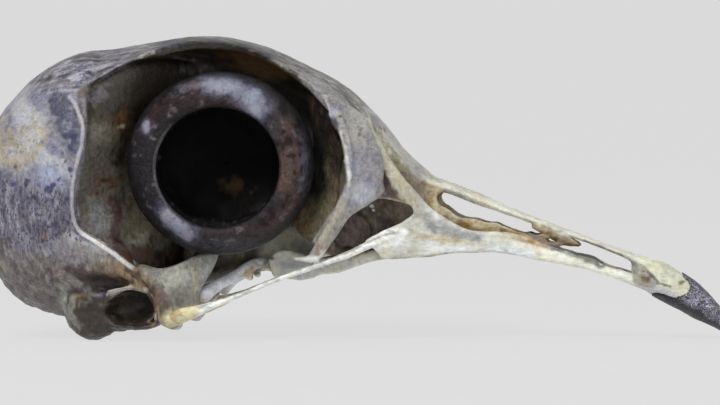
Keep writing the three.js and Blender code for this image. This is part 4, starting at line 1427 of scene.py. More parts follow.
def paint_orbit(p):
    inside = orbit_shade(p)
    p.speck *= 1 - inside
    p.run += (0.5 - p.run) * inside
    # Inside the orbit: dark olive and brown, partly dried tissue and partly painted shade.
    p.lay((76, 69, 60), inside)
    p.mottle(inside, (48, 40, 30), p.middle, 0.0, 0.7, 0.85)
    p.mottle(inside, (118, 114, 106), p.coarse + 0.4 * p.upright, 0.2, 0.9, 0.8)
    p.mottle(inside, (30, 25, 20), p.fine + 0.6 * p.middle, 0.6, 1.1, 0.7)
    p.mottle(inside, (36, 29, 22), p.fine, 0.4, 0.8, 0.6)
    p.mottle(inside, (124, 120, 110), -p.fine, 0.5, 0.9, 0.45)
    p.lay((96, 91, 84), 0.5 * inside * fade(p.x, -16.5, -17.2) * fade(p.z, 15.0, 14.0))
    p.lay((40, 34, 27), 0.85 * inside * fade(p.z + 0.5 * p.coarse, 14.8, 16.2))
    p.lay((60, 52, 43), 0.8 * inside * fade(p.z + 0.4 * p.middle, 18.2, 19.4))
    p.lay((36, 29, 21), 0.7 * inside * fade(p.x + 0.4 * p.coarse, -16.6, -15.2) * fade(p.z, 9.5, 11.5))
    p.dabs(inside, [
        ((98, 94, 102), 0.7, 0.9, -18.0, 17.2, 0.9, 0.5, 40, 4),
        ((112, 108, 116), 0.7, 1.1, -11.8, 19.3, 0.8, 0.4, 0, 0, 6),
        ((132, 100, 60), 0.85, 0.9, -6.6, 19.3, 2.6, 0.7, -12, 0, 5.6),
    ])
    rear = inside * fade(p.x, -15.0, -16.2)
    p.dab((112, 107, 95), 0.7 * rear, -17.3, 14.6, 0.9, 0.7, 0, 4, ragged=0.9)
    p.lay((96, 92, 84), 0.6 * rear * fade(p.upright, -0.1, 0.5) * fade(p.z, 15.6, 14.6))
    p.lay((104, 72, 42), 0.8 * p.area([(-16.5, 15.9), (-15.7, 16.1), (-16.1, 14.5)], 0.2, 0.3, 3))
    # A painted glint on the rear wall.
    p.dab((200, 190, 164), 0.8, -16.1, 15.1, 0.22, 0.16, 30, 3, ragged=0.8)
    for bx, bz, size in ((-17.3, 11.3, 0.3), (-17.0, 10.8, 0.26), (-17.7, 10.4, 0.26),
                         (-16.9, 9.9, 0.22), (-16.3, 11.6, 0.2)):
        p.dab((96, 60, 30), 0.7 * inside, bx, bz, 1.8 * size, size, 40 * bx, ragged=1.3)
        p.dab((34, 22, 14), 0.8 * inside, bx, bz, 0.7 * size, 0.4 * size, 0, ragged=1.4)
    p.dab((132, 132, 132), 0.8 * rear, -17.5, 8.6, 0.8, 1.5, 10, 3, ragged=0.8)
    p.dabs(inside, [
        ((118, 112, 94), 0.8, 0.9, -14.9, 8.0, 1.1, 1.3, 20, 1),
        ((136, 134, 122), 0.7, 0.9, -15.0, 7.2, 0.5, 0.4, 20, 1),
    ])
    vein = p.line([(-16.7, 10.0), (-16.4, 8.9), (-16.6, 7.8), (-16.1, 6.5), (-15.4, 5.7)], 0.22, 0.8, 0.8)
    p.lay((66, 44, 44), 0.85 * inside * vein)
    p.dabs(inside, [
        ((74, 46, 26), 0.9, 1.0, -14.6, 6.0, 1.3, 0.45, 0, 0),
        ((24, 16, 12), 0.95, 0.4, -14.0, 5.9, 0.26, 0.26, 0, 0),
    ])
    olive = p.line([(-18.6, 8.0), (-18.0, 7.2), (-17.0, 6.4), (-15.8, 5.6)], 0.22, 0.9, 0.8, 4)
    p.lay((122, 108, 64), 0.75 * inside * olive)
    # Front wall: painted shadow, black beside the eye ring and near-black higher up, then brown and olive
    # towards the lacrimal.
    q = p.x - lacrimal_edge(p)
    front = fade(q, 0.1, -0.12) * fade(p.x, -5.4, -4.6) * fade(p.z, 6.4, 6.9) * fade(p.z, 18.0, 17.6)
    front = front * p.between(1.5, 8.6)
    p.speck *= 1 - front
    p.run *= 1 - front
    p.lay((74, 66, 48), front)
    p.mottle(front, (108, 100, 78), p.upright, 0.0, 0.8, 0.6)
    p.mottle(front, (58, 46, 34), p.middle, 0.0, 0.6, 0.6)
    p.dab((102, 94, 72), 0.7 * front, -1.9, 8.6, 0.6, 1.6, -35, 3, ragged=0.8)
    # Painted shadow: near-black higher up on the front wall.
    p.lay((15, 10, 6), 0.95 * front * fade(p.z + 0.5 * p.middle + 0.8 * q, 10.4, 12.6))
    p.lay((66, 44, 32), 0.6 * front * fade(p.upright, 0.1, 0.7) * fade(p.z, 12.5, 14.0))
    # Painted shadow: black beside the eye ring.
    p.lay((8, 8, 7), 0.96 * front * fade(q + 0.3 * p.middle, -1.25, -2.0) * fade(p.z, 9.0, 10.6))
    p.dab((102, 86, 58), 0.7 * front, -3.5, 7.9, 0.7, 0.6, 20, 3, ragged=0.9)


def paint_forehead(p):
    face = fade(p.x - lacrimal_edge(p), -0.12, 0.1) * fade(p.x, 3.4, 2.4) * fade(p.out, 4.2, 4.8)
    face = face * fade(p.z, 5.0, 5.6)
    p.lay((152, 150, 152), face)
    p.lay((172, 170, 168), 0.5 * face * fade(p.z, 13.0, 14.5) * fade(p.z, 17.0, 16.0))
    p.lay((176, 173, 164), 0.5 * face * fade(p.z, 10.4, 9.2))
    p.mottle(face, (118, 116, 130), p.middle + 0.3 * p.fine, 0.0, 0.7, 0.75)
    p.mottle(face, (190, 187, 176), p.coarse - 0.4 * p.fine, 0.0, 0.7, 0.75)
    p.lay((182, 180, 174), 0.8 * face * fade(p.z + 0.6 * p.middle, 13.4, 14.6) * fade(p.x, -0.6, 0.2))
    p.lay((124, 122, 126), 0.55 * face * fade(p.z + 0.5 * p.middle, 16.4, 17.6))
    p.mottle(face, (110, 98, 92), p.fine, 0.4, 0.8, 0.6)
    p.speck = np.maximum(p.speck * (1 - face), 0.22 * face)
    p.dabs(face, [
        ((180, 184, 196), 0.85, 0.7, 0.7, 10.5, 1.1, 0.8, 20),
        ((160, 160, 176), 0.7, 0.7, 0.6, 12.4, 0.9, 1.2, 0),
    ])
    # A pale line down the lacrimal's rear edge, with a painted highlight on it.
    p.streak((206, 204, 198), 0.9 * face, [(-0.7, 14.7), (-0.35, 13.4), (-0.12, 12.2), (-0.05, 11.0)],
             0.12, 0.6, 0.6)
    p.dab((232, 232, 230), 0.8 * face, -0.02, 11.8, 0.14, 0.4, 0, ragged=0.6)
    p.streak((172, 164, 142), 0.7 * face, [(-0.6, 9.6), (-1.4, 8.0), (-2.4, 6.3)], 0.2, 0.8, 0.6)
    p.dab((150, 120, 112), 0.6 * face, -2.0, 6.2, 0.4, 0.5, 0, ragged=0.9)
    p.streak((214, 208, 190), 0.8, [(-2.4, 5.75), (-3.9, 5.8)], 0.22, 0.5, 0.5, 5.5)
    p.dabs(1.0, [
        ((164, 166, 188), 0.85, 0.6, -1.2, 16.1, 0.32, 0.3, 0, 4.6),
        ((54, 44, 66), 0.85, 0.7, -1.0, 15.3, 0.2, 0.34, 20, 4.6),
        ((168, 158, 124), 0.7, 0.6, -0.7, 15.8, 0.26, 0.2, 0, 4.6),
        ((22, 20, 16), 0.95, 0.2, -0.68, 15.8, 0.09, 0.09, 0, 4.6),
    ])
    # The side of the forehead ahead of the lacrimal, with olive stains along the nasal bar.
    brow = fade(p.x, 0.2, 1.2) * fade(p.x, 5.0, 4.0) * fade(p.out, 4.7, 4.3) * fade(p.z, 10.6, 11.2)
    p.lay((186, 185, 180), brow)
    p.mottle(brow, (158, 154, 160), p.middle, 0.0, 0.8, 0.7)
    for ox, oz in ((1.7, 14.6), (2.3, 13.6), (2.9, 12.7), (3.4, 12.1)):
        p.dab((128, 124, 76), 0.75 * brow, ox, oz, 0.3, 0.45, 30, 1.0, 4.4, ragged=1.1)
    p.dab((90, 86, 96), 0.6 * brow, 1.4, 15.3, 0.7, 0.4, -45, 0.5, 3.6, ragged=0.8)
    p.streak((84, 68, 60), 0.85, [(3.9, 10.7), (4.4, 11.0), (5.1, 11.05), (6.0, 10.7)], 0.16, 0.7, 0.6,
             1.0, 3.4)
    veil = p.area(NASAL_VEIL, 0.1, 0.1, 3.6, 4.25)
    p.lay((112, 104, 110), 0.8 * veil)
    p.lay((70, 44, 26), 0.8 * veil * fade(p.x - 0.4 * (13 - p.z), 1.1, 1.5))
    p.streak((164, 148, 120), 0.8, [(1.5, 10.0), (2.6, 9.9), (3.8, 9.65)], 0.1, 0.7, 0.6, 3, 4.4)


def paint_bill(p):
    x, z, out = p.x, p.z, p.out
    bill = np.maximum(fade(x, 4.4, 5.4), fade(x, 0.2, 1.6) * fade(z, 9.6, 9.0) * fade(out, 2.9, 3.2))
    p.run = np.maximum(p.run, bill)
    p.speck *= 1 - bill
    p.lay((214, 214, 202), bill)
    p.mottle(bill, (196, 202, 204), p.middle, 0.0, 0.7, 0.7)
    p.lay((236, 238, 226), 0.7 * bill * fade(x, 9.0, 12.0) * fade(out, 1.2, 1.6))
    p.mottle(bill, (186, 178, 150), p.coarse, 0.1, 0.8, 0.6)
    nasal = p.line([(1.1, 4.15, 15.4), (1.9, 4.1, 13.6), (2.9, 4.05, 11.6), (4.2, 3.9, 9.9)], 0.5)
    p.lay((198, 196, 178), nasal)
    p.mottle(nasal, (160, 152, 122), p.middle, 0.1, 0.6, 0.7)
    # Maxilla: white, with a grey band under its upper edge and straw-coloured streaks.
    maxilla = bill * fade(out, 1.2, 1.6) * fade(z - (11.0 - 0.5 * (x - 4)), 0.0, -0.6)
    p.lay((214, 220, 222), 0.7 * maxilla * fade(p.level, -0.3, 0.5))
    p.streaks(maxilla, [
        ((140, 142, 144), 0.8, [(4.6, 9.0), (5.6, 8.2), (6.8, 7.6), (8.6, 7.2)], 0.4, 0.9, 0.7),
        ((188, 172, 134), 0.75, [(3.2, 7.75), (5.0, 7.3), (7.5, 6.9), (9.5, 6.5)], 0.22, 0.9, 0.9),
    ])
    p.dab((120, 104, 62), 0.8 * maxilla, 3.9, 7.7, 0.4, 0.14, -8, 2, ragged=1.2)
    p.streak((236, 240, 240), 0.7 * maxilla, [(2.6, 6.9), (5.6, 6.4), (9.4, 6.5), (12.4, 6.0)], 0.26, 0.9,
             0.7)
    p.streak((150, 128, 92), 0.7, [(2.7, 5.72), (4.6, 5.78), (6.2, 5.95), (8.6, 6.15)], 0.1, 0.8, 0.9, 2)
    p.dab((196, 170, 138), 0.6 * maxilla, 12.5, 6.9, 0.5, 0.4, 0, ragged=1.2)
    p.lay((160, 166, 162), 0.35 * maxilla * fade(x, 13.5, 15.0) * fade(p.level, 0.1, 0.5))
    front = fade(x, 12.6, 14.0) * fade(x, 19.0, 17.6) * fade(z - (6.4 - 0.42 * (x - 14)), 0.1, -0.2)
    p.lay((240, 243, 232), 0.75 * bill * front)
    p.lay((182, 181, 168), 0.6 * maxilla * fade(x, 5.6, 4.2))
    # Ochre floor of the nostril, the dark shreds on it and the brown underside of the culmen.
    floor = p.area(NOSTRIL_FLOOR, 0.12, 0.0, 0.8, 2.62)
    p.lay((178, 166, 134), floor)
    p.mottle(floor, (150, 120, 62), p.middle, 0.0, 0.6, 0.8)
    p.mottle(floor, (196, 188, 168), p.fine, 0.1, 0.6, 0.6)
    for bx, bz in ((6.3, 8.6), (7.4, 8.2), (10.4, 7.75), (5.2, 10.4), (7.9, 8.0)):
        p.dab((104, 70, 36), 0.8 * floor, bx, bz, 0.22, 0.16, 0, ragged=1.3)
    p.streaks(1.0, [
        ((128, 90, 42), 0.7, [(5.2, 9.4), (6.2, 8.5), (7.4, 7.95), (9.6, 7.75)], 0.12, 0.8, 0.9, 1.0,
         2.7),
        ((178, 140, 88), 0.6, [(4.5, 11.0), (5.4, 10.9), (6.3, 10.4)], 0.12, 0.8, 0.8, 0.8, 2.9),
    ])
    shred = p.area([(12.2, 7.7), (13.7, 7.55), (14.0, 7.0), (15.9, 7.0), (15.6, 6.4), (13.9, 6.3),
                    (12.6, 7.0)], 0.12, 0.15, 0.8, 2.6)
    p.lay((142, 124, 114), 0.85 * shred)
    p.streaks(1.0, [
        ((50, 42, 46), 0.9, [(12.2, 7.5), (12.9, 7.42), (13.7, 7.3)], 0.2, 0.5, 0.6, 0.8, 2.6),
        ((92, 96, 98), 0.85, [(15.8, 5.9), (16.6, 5.65), (17.4, 5.2)], 0.26, 0.6, 0.8, 1.0, 2.4),
        ((120, 124, 122), 0.7, [(13.8, 6.6), (15.0, 6.1), (16.0, 5.8)], 0.12, 0.7, 0.8, 1.0),
    ])
    culmen = bill * fade(z - (11.15 - 0.41 * (x - 5.4)), -0.95, -0.75) * fade(x, 20.0, 19.0)
    p.mottle(culmen, (156, 156, 158), p.level, 0.0, 0.6, 0.7)
    # Painted highlight: paler along the top of the culmen.
    p.lay((226, 224, 206), 0.7 * culmen * fade(z - (11.3 - 0.41 * (x - 5.4)), -0.4, -0.15))
    under = culmen * fade(z - (10.75 - 0.41 * (x - 5.4)), 0.05, -0.2)
    p.lay((138, 118, 74), 0.75 * under * fade(p.level, -0.6, 0.2))
    p.dab((78, 70, 52), 0.9 * under, 8.4, 9.55, 1.3, 0.3, -24, ragged=0.8)
    # A brighter painted highlight on the culmen's top.
    p.dab((240, 238, 224), 0.8 * culmen, 10.0, 9.4, 0.7, 0.4, -24, ragged=0.8)
    p.streaks(1.0, [
        ((138, 116, 78), 0.8, [(12.4, 8.0), (13.4, 7.6), (14.4, 7.15), (15.7, 6.7)], 0.3, 0.7, 0.6, 0.5),
        ((84, 58, 36), 0.8, [(14.2, 7.05), (15.0, 6.75), (15.8, 6.55)], 0.14, 0.7, 0.9, 0.5),
        ((90, 88, 84), 0.8, [(16.2, 6.95), (17.4, 6.45), (18.8, 5.85)], 0.12, 0.8, 1.0, 0.3),
        ((150, 152, 148), 0.7, [(16.5, 6.5), (18.0, 5.95), (19.6, 5.3)], 0.16, 0.8, 0.8, 0.3),
    ])
    # Tip: cream above, bluish white below, and the stained recess behind them.
    tip = fade(x, 19.4, 20.2)
    p.lay((216, 216, 194), tip)
    p.lay((196, 198, 202), 0.85 * tip * fade(z - (3.9 - 0.5 * (x - 21.5)), 0.25, -0.2))
    recess = p.area([(19.4, 5.5), (20.3, 5.35), (20.95, 4.65), (21.5, 4.0), (20.8, 3.7), (19.8, 3.95),
                     (19.6, 4.6)], 0.07, 0.04, 0.5)
    p.lay((156, 154, 142), 0.9 * recess)
    p.dab((184, 172, 162), 0.8 * recess, 20.9, 4.5, 0.45, 0.35, -45, ragged=0.5)
    p.dab((88, 72, 52), 0.85, 20.5, 4.3, 0.4, 0.24, -20, 0.5, ragged=0.7)
    p.streaks(1.0, [
        ((84, 78, 90), 0.8, [(20.7, 4.75), (21.4, 4.1)], 0.09, 0.6, 0.6, 0.5),
        ((120, 118, 84), 0.85, [(21.3, 4.0), (22.3, 3.75)], 0.07, 0.6, 0.8, 0.5),
    ])
    p.dab((96, 66, 36), 0.85, 23.2, 4.1, 0.28, 0.16, 10, 0.3, ragged=1.0)


def paint_palate(p):
    x, z, out = p.x, p.z, p.out
    # Dark wall inside the nasal cavity, lighter towards the bill.
    wall = p.area(NASAL_WALL, 0.2, 0.0, 0.6, 3.2) * fade(x, 5.2, 4.6)
    wall = wall * fade(z - 0.45 * x, 4.9, 5.5)
    p.speck *= 1 - wall
    p.lay((96, 84, 66), wall)
    p.streak((176, 166, 140), 0.7, [(0.4, 9.5), (1.4, 10.1), (2.6, 10.2), (3.4, 9.9)], 0.14, 0.7, 0.7,
             2.2, 3.4)
    p.mottle(wall, (56, 46, 36), p.middle, -0.1, 0.5, 0.85)
    p.mottle(wall, (132, 126, 112), p.upright, 0.3, 0.9, 0.6)
    p.lay((150, 140, 124), 0.7 * wall * fade(x, 2.6, 3.8))
    p.dab((236, 236, 234), wall, 1.22, 9.42, 0.17, 0.13, 0, ragged=0.4, soft=0.3)
    p.dab((236, 236, 234), wall, 1.33, 9.14, 0.09, 0.08, 0, ragged=0.3, soft=0.3)
    fold = p.area(TURBINAL, 0.25, 0.1, 2.6, 4.1)
    p.lay((80, 68, 62), fold)
    p.mottle(fold, (56, 44, 40), p.fine, 0.0, 0.6, 0.8)
    fold_edge = [(-1.6, 7.3), (-1.2, 6.7), (-0.8, 6.5), (-0.3, 6.6), (0.1, 6.4), (0.7, 6.6)]
    p.streak((20, 16, 14), 0.95, fold_edge, 0.08, 0.5, 0.3, 2.8, 4.2)
    palate = fade(x, 3.4, 2.0) * fade(z, 7.0, 6.6) * fade(out, 4.6, 4.2) * fade(x, -7, -6)
    palate = palate * (1 - wall) * (1 - fold)
    p.speck *= 1 - palate
    p.lay((214, 212, 196), palate)
    p.mottle(palate, (172, 172, 170), p.middle, 0.0, 0.7, 0.7)
    p.mottle(palate, (222, 220, 204), p.fine, 0.1, 0.7, 0.7)
    inner = fade(out, 1.9, 1.4) * fade(x, -7.4, -6.4) * fade(x, -2.2, -3.0) * fade(z, 4.4, 4.8)
    inner = inner * fade(z - 0.25 * x, 9.2, 8.6)
    p.speck *= 1 - inner
    p.lay((176, 174, 156), 0.9 * inner)
    p.mottle(inner, (130, 132, 128), p.middle, 0.0, 0.7, 0.8)
    p.dab((190, 136, 52), 0.8 * palate, 0.6, 6.2, 0.5, 0.25, 15, ragged=1.1)
    p.streak((96, 84, 60), 0.7 * palate, [(-0.9, 6.1), (-0.2, 6.5), (1.2, 6.75), (2.4, 6.7)], 0.12, 0.8,
             0.9)
    p.dabs(palate, [
        ((184, 190, 198), 0.7, 0.7, -4.2, 4.9, 1.6, 0.8, 0),
        ((42, 38, 30), 0.9, 0.6, -5.9, 5.7, 0.12, 0.12, 0),
    ])
    p.streak((88, 80, 60), 0.8, [(-6.3, 5.5), (-5.9, 4.7), (-5.5, 4.3)], 0.09, 0.6, 0.9, 1.6, 3.6)
    jugal = p.line(JUGAL, 0.7, 0.3)
    p.speck *= 1 - jugal
    p.run = np.maximum(p.run, jugal)
    p.lay((240, 243, 240), jugal * fade(x, -13.0, -11.0))
    p.lay((170, 178, 186), 0.6 * jugal * fade(p.level, 0.2, 0.7))
    p.streak((118, 116, 106), 0.7, [(row[0], row[2] + 0.2) for row in JUGAL], 0.07, 0.6, 0.8, 4.5)
    p.lay((206, 196, 150), 0.85 * jugal * fade(x, -9.8, -11.0))
    p.dab((150, 128, 76), 0.7 * jugal, -12.0, 1.9, 0.3, 0.4, 0, ragged=1.2)


def paint_ear(p):
    ear = p.area([(-19.9, 3.4), (-18.9, 3.9), (-16.8, 4.1), (-14.6, 3.9), (-13.7, 2.8), (-13.5, 1.0),
                  (-15.5, 0.3), (-18.2, -0.4), (-19.4, 0.6), (-20.0, 2.0)], 0.25, 0.15, 4.6)
    p.speck *= 1 - ear
    p.run *= 1 - ear
    p.lay((50, 42, 36), ear)
    p.mottle(ear, (36, 29, 25), p.middle, 0.0, 0.6, 0.85)
    p.mottle(ear, (84, 76, 66), p.fine + 0.4 * p.middle, 0.3, 0.8, 0.75)
    p.streaks(1.0, [
        ((134, 132, 122), 0.8, [(-19.5, 3.0), (-19.7, 2.0), (-19.2, 1.1)], 0.25, 0.8, 0.8, 4.0),
        ((104, 86, 56), 0.6, [(-19.2, 3.1), (-18.6, 3.3), (-18.2, 3.0)], 0.12, 0.8, 0.9, 4.0),
    ])
    # Painted highlights: small blue-purple glints on the upper bulla.
    for gx, gz in ((-18.9, 3.7), (-18.0, 3.2), (-17.3, 3.4), (-16.4, 3.7)):
        p.dab((74, 72, 108), 0.55, gx, gz, 0.35, 0.13, 10, 4.6, ragged=1.5)
    band = p.area([(-20.0, 5.1), (-19.3, 5.5), (-18.4, 5.1), (-17.4, 4.8), (-16.0, 4.6), (-14.6, 4.1),
                   (-15.1, 3.7), (-16.1, 3.6), (-17.4, 3.8), (-18.4, 3.9), (-19.3, 4.5)], 0.2, 0.25, 5.0)
    p.lay((56, 42, 42), 0.9 * band)
    p.mottle(band, (84, 70, 64), p.level, 0.1, 0.7, 0.7)
    p.dab((52, 47, 40), 1.0, -14.9, 2.4, 1.25, 1.1, 0, 4.6, 8.2, ragged=0.2, soft=0.2)
    crest = p.line(CREST_UNDER_EDGE, 0.75)
    p.lay((110, 92, 66), 0.85 * crest)
    p.mottle(crest, (134, 116, 82), p.upright, 0.1, 0.6, 0.7)
    p.mottle(crest, (58, 42, 38), p.upright, -0.1, -0.6, 0.8)
    p.streaks(1.0, [
        ((200, 194, 188), 0.85, EAR_SHELF, 0.26),
        ((176, 164, 156), 0.7, [(-14.2, 3.3), (-13.8, 2.6), (-13.6, 1.6)], 0.1, 0.6, 0.5, 6.6),
    ])
    edge = p.line([(row[0], row[1]) for row in ORBIT_EDGE], 0.14, 0.45, 0.12, 5.0)
    p.speck *= 1 - edge
    p.lay((162, 158, 168), 0.9 * edge)
    p.lay((236, 234, 230), 0.8 * edge * fade(p.z, 8.0, 7.4))
    p.dabs(1.0, [
        ((98, 84, 64), 0.6, 1.2, -18.7, 17.5, 0.4, 0.25, 20, 4),
        ((140, 108, 60), 0.7, 0.9, -15.0, 5.1, 0.25, 0.2, 0, 5),
    ])


def finish_paint(p, cavity, hollow_shade=0.55):
    """Painted shade in the hollows, a painted highlight on raised edges, and a change of tone from place to
    place.
    """
    hollow = fade(cavity, -0.01, -0.12)[:, None]
    # Painted shade: darker and warmer in the hollows.
    p.color *= (1 - hollow_shade * hollow) * (1 - 0.25 * hollow * np.array([0, 0.25, 0.6]))
    # Painted highlight: paler on raised edges.
    p.lay((226, 224, 216), 0.22 * fade(cavity, 0.08, 0.25) * fade(p.color.mean(1), 0.05, 0.2))
    p.color *= (1 + 0.12 * p.middle + 0.08 * p.fine + 0.08 * p.coarse)[:, None]


def paint_ring(p):
    r = np.hypot((p.x - EYE_X) / RING_WIDER, p.z - EYE_Z)
    lip_r = np.hypot((p.x - EYE_X) / RING_WIDER, p.z - EYE_Z + RING_SAG)
    p.mottle(p.everywhere, (34, 26, 27), p.middle, 0.0, 0.7, 0.8)
    p.mottle(p.everywhere, (66, 63, 72), p.coarse, 0.1, 0.7, 0.7)
    p.lay((30, 27, 32), 0.85 * fade(p.x + 0.6 * p.middle, -11.4, -13.4))
    # The pink-brown band on the ring's right side is a painted highlight.
    p.dabs(1.0, [
        ((84, 66, 62), 0.85, 0.9, -4.1, 12.4, 0.8, 2.8, 0),
        ((84, 83, 100), 0.7, 0.9, -3.1, 12.6, 0.3, 2.0, 0),
        ((66, 66, 78), 0.7, 1.0, -8.4, 6.8, 2.0, 0.5, 0),
        ((66, 50, 48), 0.7, 1.0, -5.4, 8.6, 1.0, 0.9, 40),
        ((62, 46, 44), 0.7, 1.2, -8.6, 7.7, 2.2, 0.4, 0),
        ((24, 17, 17), 0.8, 0.8, -12.4, 16.4, 2.0, 1.3, 30),
        ((46, 42, 44), 0.5, 0.8, -9.0, 7.4, 3.0, 1.0, 0),
    ])
    rust_path = [(-14.0, 15.6), (-13.0, 16.6), (-11.4, 17.0), (-9.3, 16.9), (-7.8, 16.6)]
    rust = p.line(rust_path, 0.55, 0.9, 0.9)
    p.lay((44, 28, 27), 0.95 * rust)
    p.lay((18, 10, 14), 0.9 * rust * fade(p.fine, 0.0, 0.4))
    p.dabs(1.0, [
        ((110, 78, 56), 0.7, 1.1, -10.4, 18.0, 0.5, 0.35, 0),
        ((92, 92, 106), 0.7, 0.9, -11.6, 17.8, 0.9, 0.35, 25),
    ])
    p.mottle(p.everywhere, (20, 14, 17), p.fine + 0.5 * p.middle, 0.35, 0.8, 0.8)
    p.mottle(p.everywhere, (104, 96, 102), -p.fine - 0.5 * p.middle, 0.5, 0.9, 0.55)
    for rows, width in (
        ([(-9.9, 18.3), (-8.6, 18.0), (-7.3, 17.5), (-6.6, 16.9), (-6.25, 16.3)], 0.46),
        ([(-6.7, 17.2), (-6.4, 16.4)], 0.5),
        ([(-12.7, 9.0), (-12.0, 8.3), (-11.2, 7.6)], 0.42),
        ([(-14.15, 15.3), (-14.1, 14.9)], 0.22),
    ):
        p.streak((92, 92, 112), 0.8, rows, 1.7 * width, 0.8, 0.4)
        p.streak((146, 149, 164), 0.9, rows, width, 0.8, 0.4)
    # Painted shade: darker towards the ring's outer edge.
    p.lay((14, 12, 14), 0.9 * fade(r + 0.04 * p.fine, RING_OUTER - 0.8, RING_OUTER - 0.1))
    lip = fade(lip_r, RING_APERTURE + 0.22, RING_APERTURE + 0.1) * fade(p.out, 8.1, 8.3)
    p.lay((40, 37, 40), 0.8 * lip)
    p.lay((104, 102, 108), 0.8 * lip * fade(p.x, -12.0, -13.0))
    p.lay((10, 9, 10), fade(p.out, 8.2, 8.0) * fade(lip_r, RING_APERTURE + 0.5, RING_APERTURE + 0.3))


def paint_eye(p):
    p.dabs(1.0, [
        ((64, 48, 32), 0.9, 1.1, -8.3, 10.8, 0.9, 0.5, -10),
        ((30, 26, 19), 0.9, 1.0, -6.9, 9.2, 0.6, 0.5, 10),
        ((10, 9, 8), 0.8, 1.2, -9.5, 9.4, 1.6, 0.8, 0),
    ])


def paint_eye_edge(p):
    p.mottle(p.everywhere, (46, 44, 58), p.fine, 0.4, 0.7, 0.8)


def paint_horn(p):
    p.mottle(p.everywhere, (186, 184, 200), p.middle, 0.0, 0.6, 0.7)
    p.mottle(p.everywhere, (58, 52, 74), p.fine + 0.6 * p.middle, 0.4, 1.0, 0.7)
    lower = fade(p.z - (3.8 - 0.62 * (p.x - 21.5)) + 0.25 * p.middle, 0.25, -0.35)
    p.lay((36, 32, 35), 0.92 * lower)
    p.mottle(lower, (88, 82, 96), p.fine, 0.2, 0.7, 0.45)
    upper = fade(p.z - (4.35 - 0.85 * (p.x - 23.6)) + 0.15 * p.middle, -0.3, 0.1)
    p.lay((58, 53, 60), 0.7 * upper)
    p.lay((30, 26, 23), 0.95 * fade(p.x + 0.3 * p.fine, 22.5, 21.9))


def paint_quadrate(p):
    p.mottle(p.everywhere, (88, 88, 80), p.coarse + 0.5 * p.fine, 0.0, 0.7, 0.65)
    p.mottle(p.everywhere, (152, 151, 144), -p.middle, 0.2, 0.8, 0.5)
    p.dab((160, 161, 154), 0.8, -12.2, 4.4, 1.3, 0.7, 20, ragged=0.7)
    p.streaks(1.0, [
        ((150, 152, 152), 0.8, [(-9.6, 6.0), (-10.1, 4.9), (-10.6, 3.6)], 0.3, 0.8, 0.5),
        ((148, 140, 112), 0.6, [(-11.0, 4.8), (-10.8, 4.2), (-10.9, 3.4)], 0.2, 0.8, 0.8),
    ])
    edge = p.line([(-15.3, 5.1), (-14.5, 4.3), (-13.8, 3.5), (-13.3, 2.6), (-13.2, 1.6)], 0.55, 0.7, 0.8)
    p.lay((92, 76, 56), 0.85 * edge)
    p.mottle(edge, (128, 110, 76), p.upright, 0.1, 0.6, 0.7)
    p.mottle(edge, (48, 34, 32), p.upright, -0.1, -0.6, 0.8)
    p.dabs(1.0, [
        ((84, 62, 60), 0.8, 1.1, -13.0, 2.9, 0.45, 0.7, 40),
        ((206, 198, 160), 0.85, 0.8, -12.0, 1.7, 1.3, 0.6, 20),
    ])
    p.lay((196, 192, 200), 0.85 * fade(p.out, 6.4, 6.0) * fade(p.z, 2.6, 2.2))


def paint_pterygoid(p):
    p.dabs(1.0, [
        ((150, 132, 74), 0.8, 0.9, -7.6, 4.6, 0.4, 0.4),
        ((132, 116, 96), 0.7, 0.9, -6.9, 5.0, 0.5, 0.4),
        ((168, 148, 140), 0.6, 0.9, -10.2, 2.9, 0.5, 0.4),
    ])


# ---- Pieces ----

SIDES = {"right": -1, "left": 1}


def mirrored(field):
    """Both halves of the skull as one array, with its low corner."""
    low = [field.low[0], -field.count[1] * field.step, field.low[2]]
    return np.concatenate([field.d[:, ::-1], field.d], axis=1), np.array(low)


def openness(array, low, step, reach, points):
    """The mean distance within reach of each point: below 0 in hollows, above 0 on edges."""
    return sampled(blurred(array, max(2, round(reach / step))), low, step, points)


def dress(thing, paint, material, slot, *nodes):
    """Gives a piece its paint, its material and its place in the frame."""
    paint.put_on(thing)
    thing.data.materials.append(material)
    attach(thing, "root")
    if nodes:
        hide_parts(*nodes)


def skull_piece(material):
    array, low = mirrored(fused_bone())
    points, quads = skin_of(array, low, BONE_STEP)
    points = evened(points, quads, 3)
    x, _, z = points.T
    culmen_root = fade(x, 3.0, 4.5) * fade(x, 10.0, 8.0) * fade(z, 8.5, 9.0)
    points = evened(points, quads, 14, culmen_root[:, None])
    cavity = openness(array, low, BONE_STEP, 0.45, points)
    x, _, z = points.T
    lumpy = 0.04 + 0.09 * fade(z, 4.4, 3.4) * fade(x, -13.0, -14.5)
    points = weathered(points, quads, lumpy[:, None], NOISE["skull_relief"])
    skull = new_object("skull", points, quads)
    paint = Paint(points, (140, 138, 140))
    for paint_part in (
        paint_braincase, paint_roof, paint_orbit, paint_forehead, paint_bill, paint_palate, paint_ear,
    ):
        paint_part(paint)
    finish_paint(paint, cavity)
    pairs = ("lacrimal", "nasal", "maxilla", "palatine", "jugal")
    dress(
        skull, paint, material, "bone", "braincase", "frontal_roof", "interorbital_septum", "premaxilla",
        *[f"{pair}_{side}" for pair in pairs for side in SIDES],
    )


def horn_piece(material):
    points, quads = skin_of(*mirrored(horn_sheath()), SMALL_STEP)
    points = weathered(points, quads, 0.03, NOISE["horn_relief"])
    horn = new_object("horn_sheath", points, quads)
    paint = Paint(points, (158, 156, 172), NOISE["horn"])
    paint_horn(paint)
    dress(horn, paint, material, "horn", "bill_horn_tip")


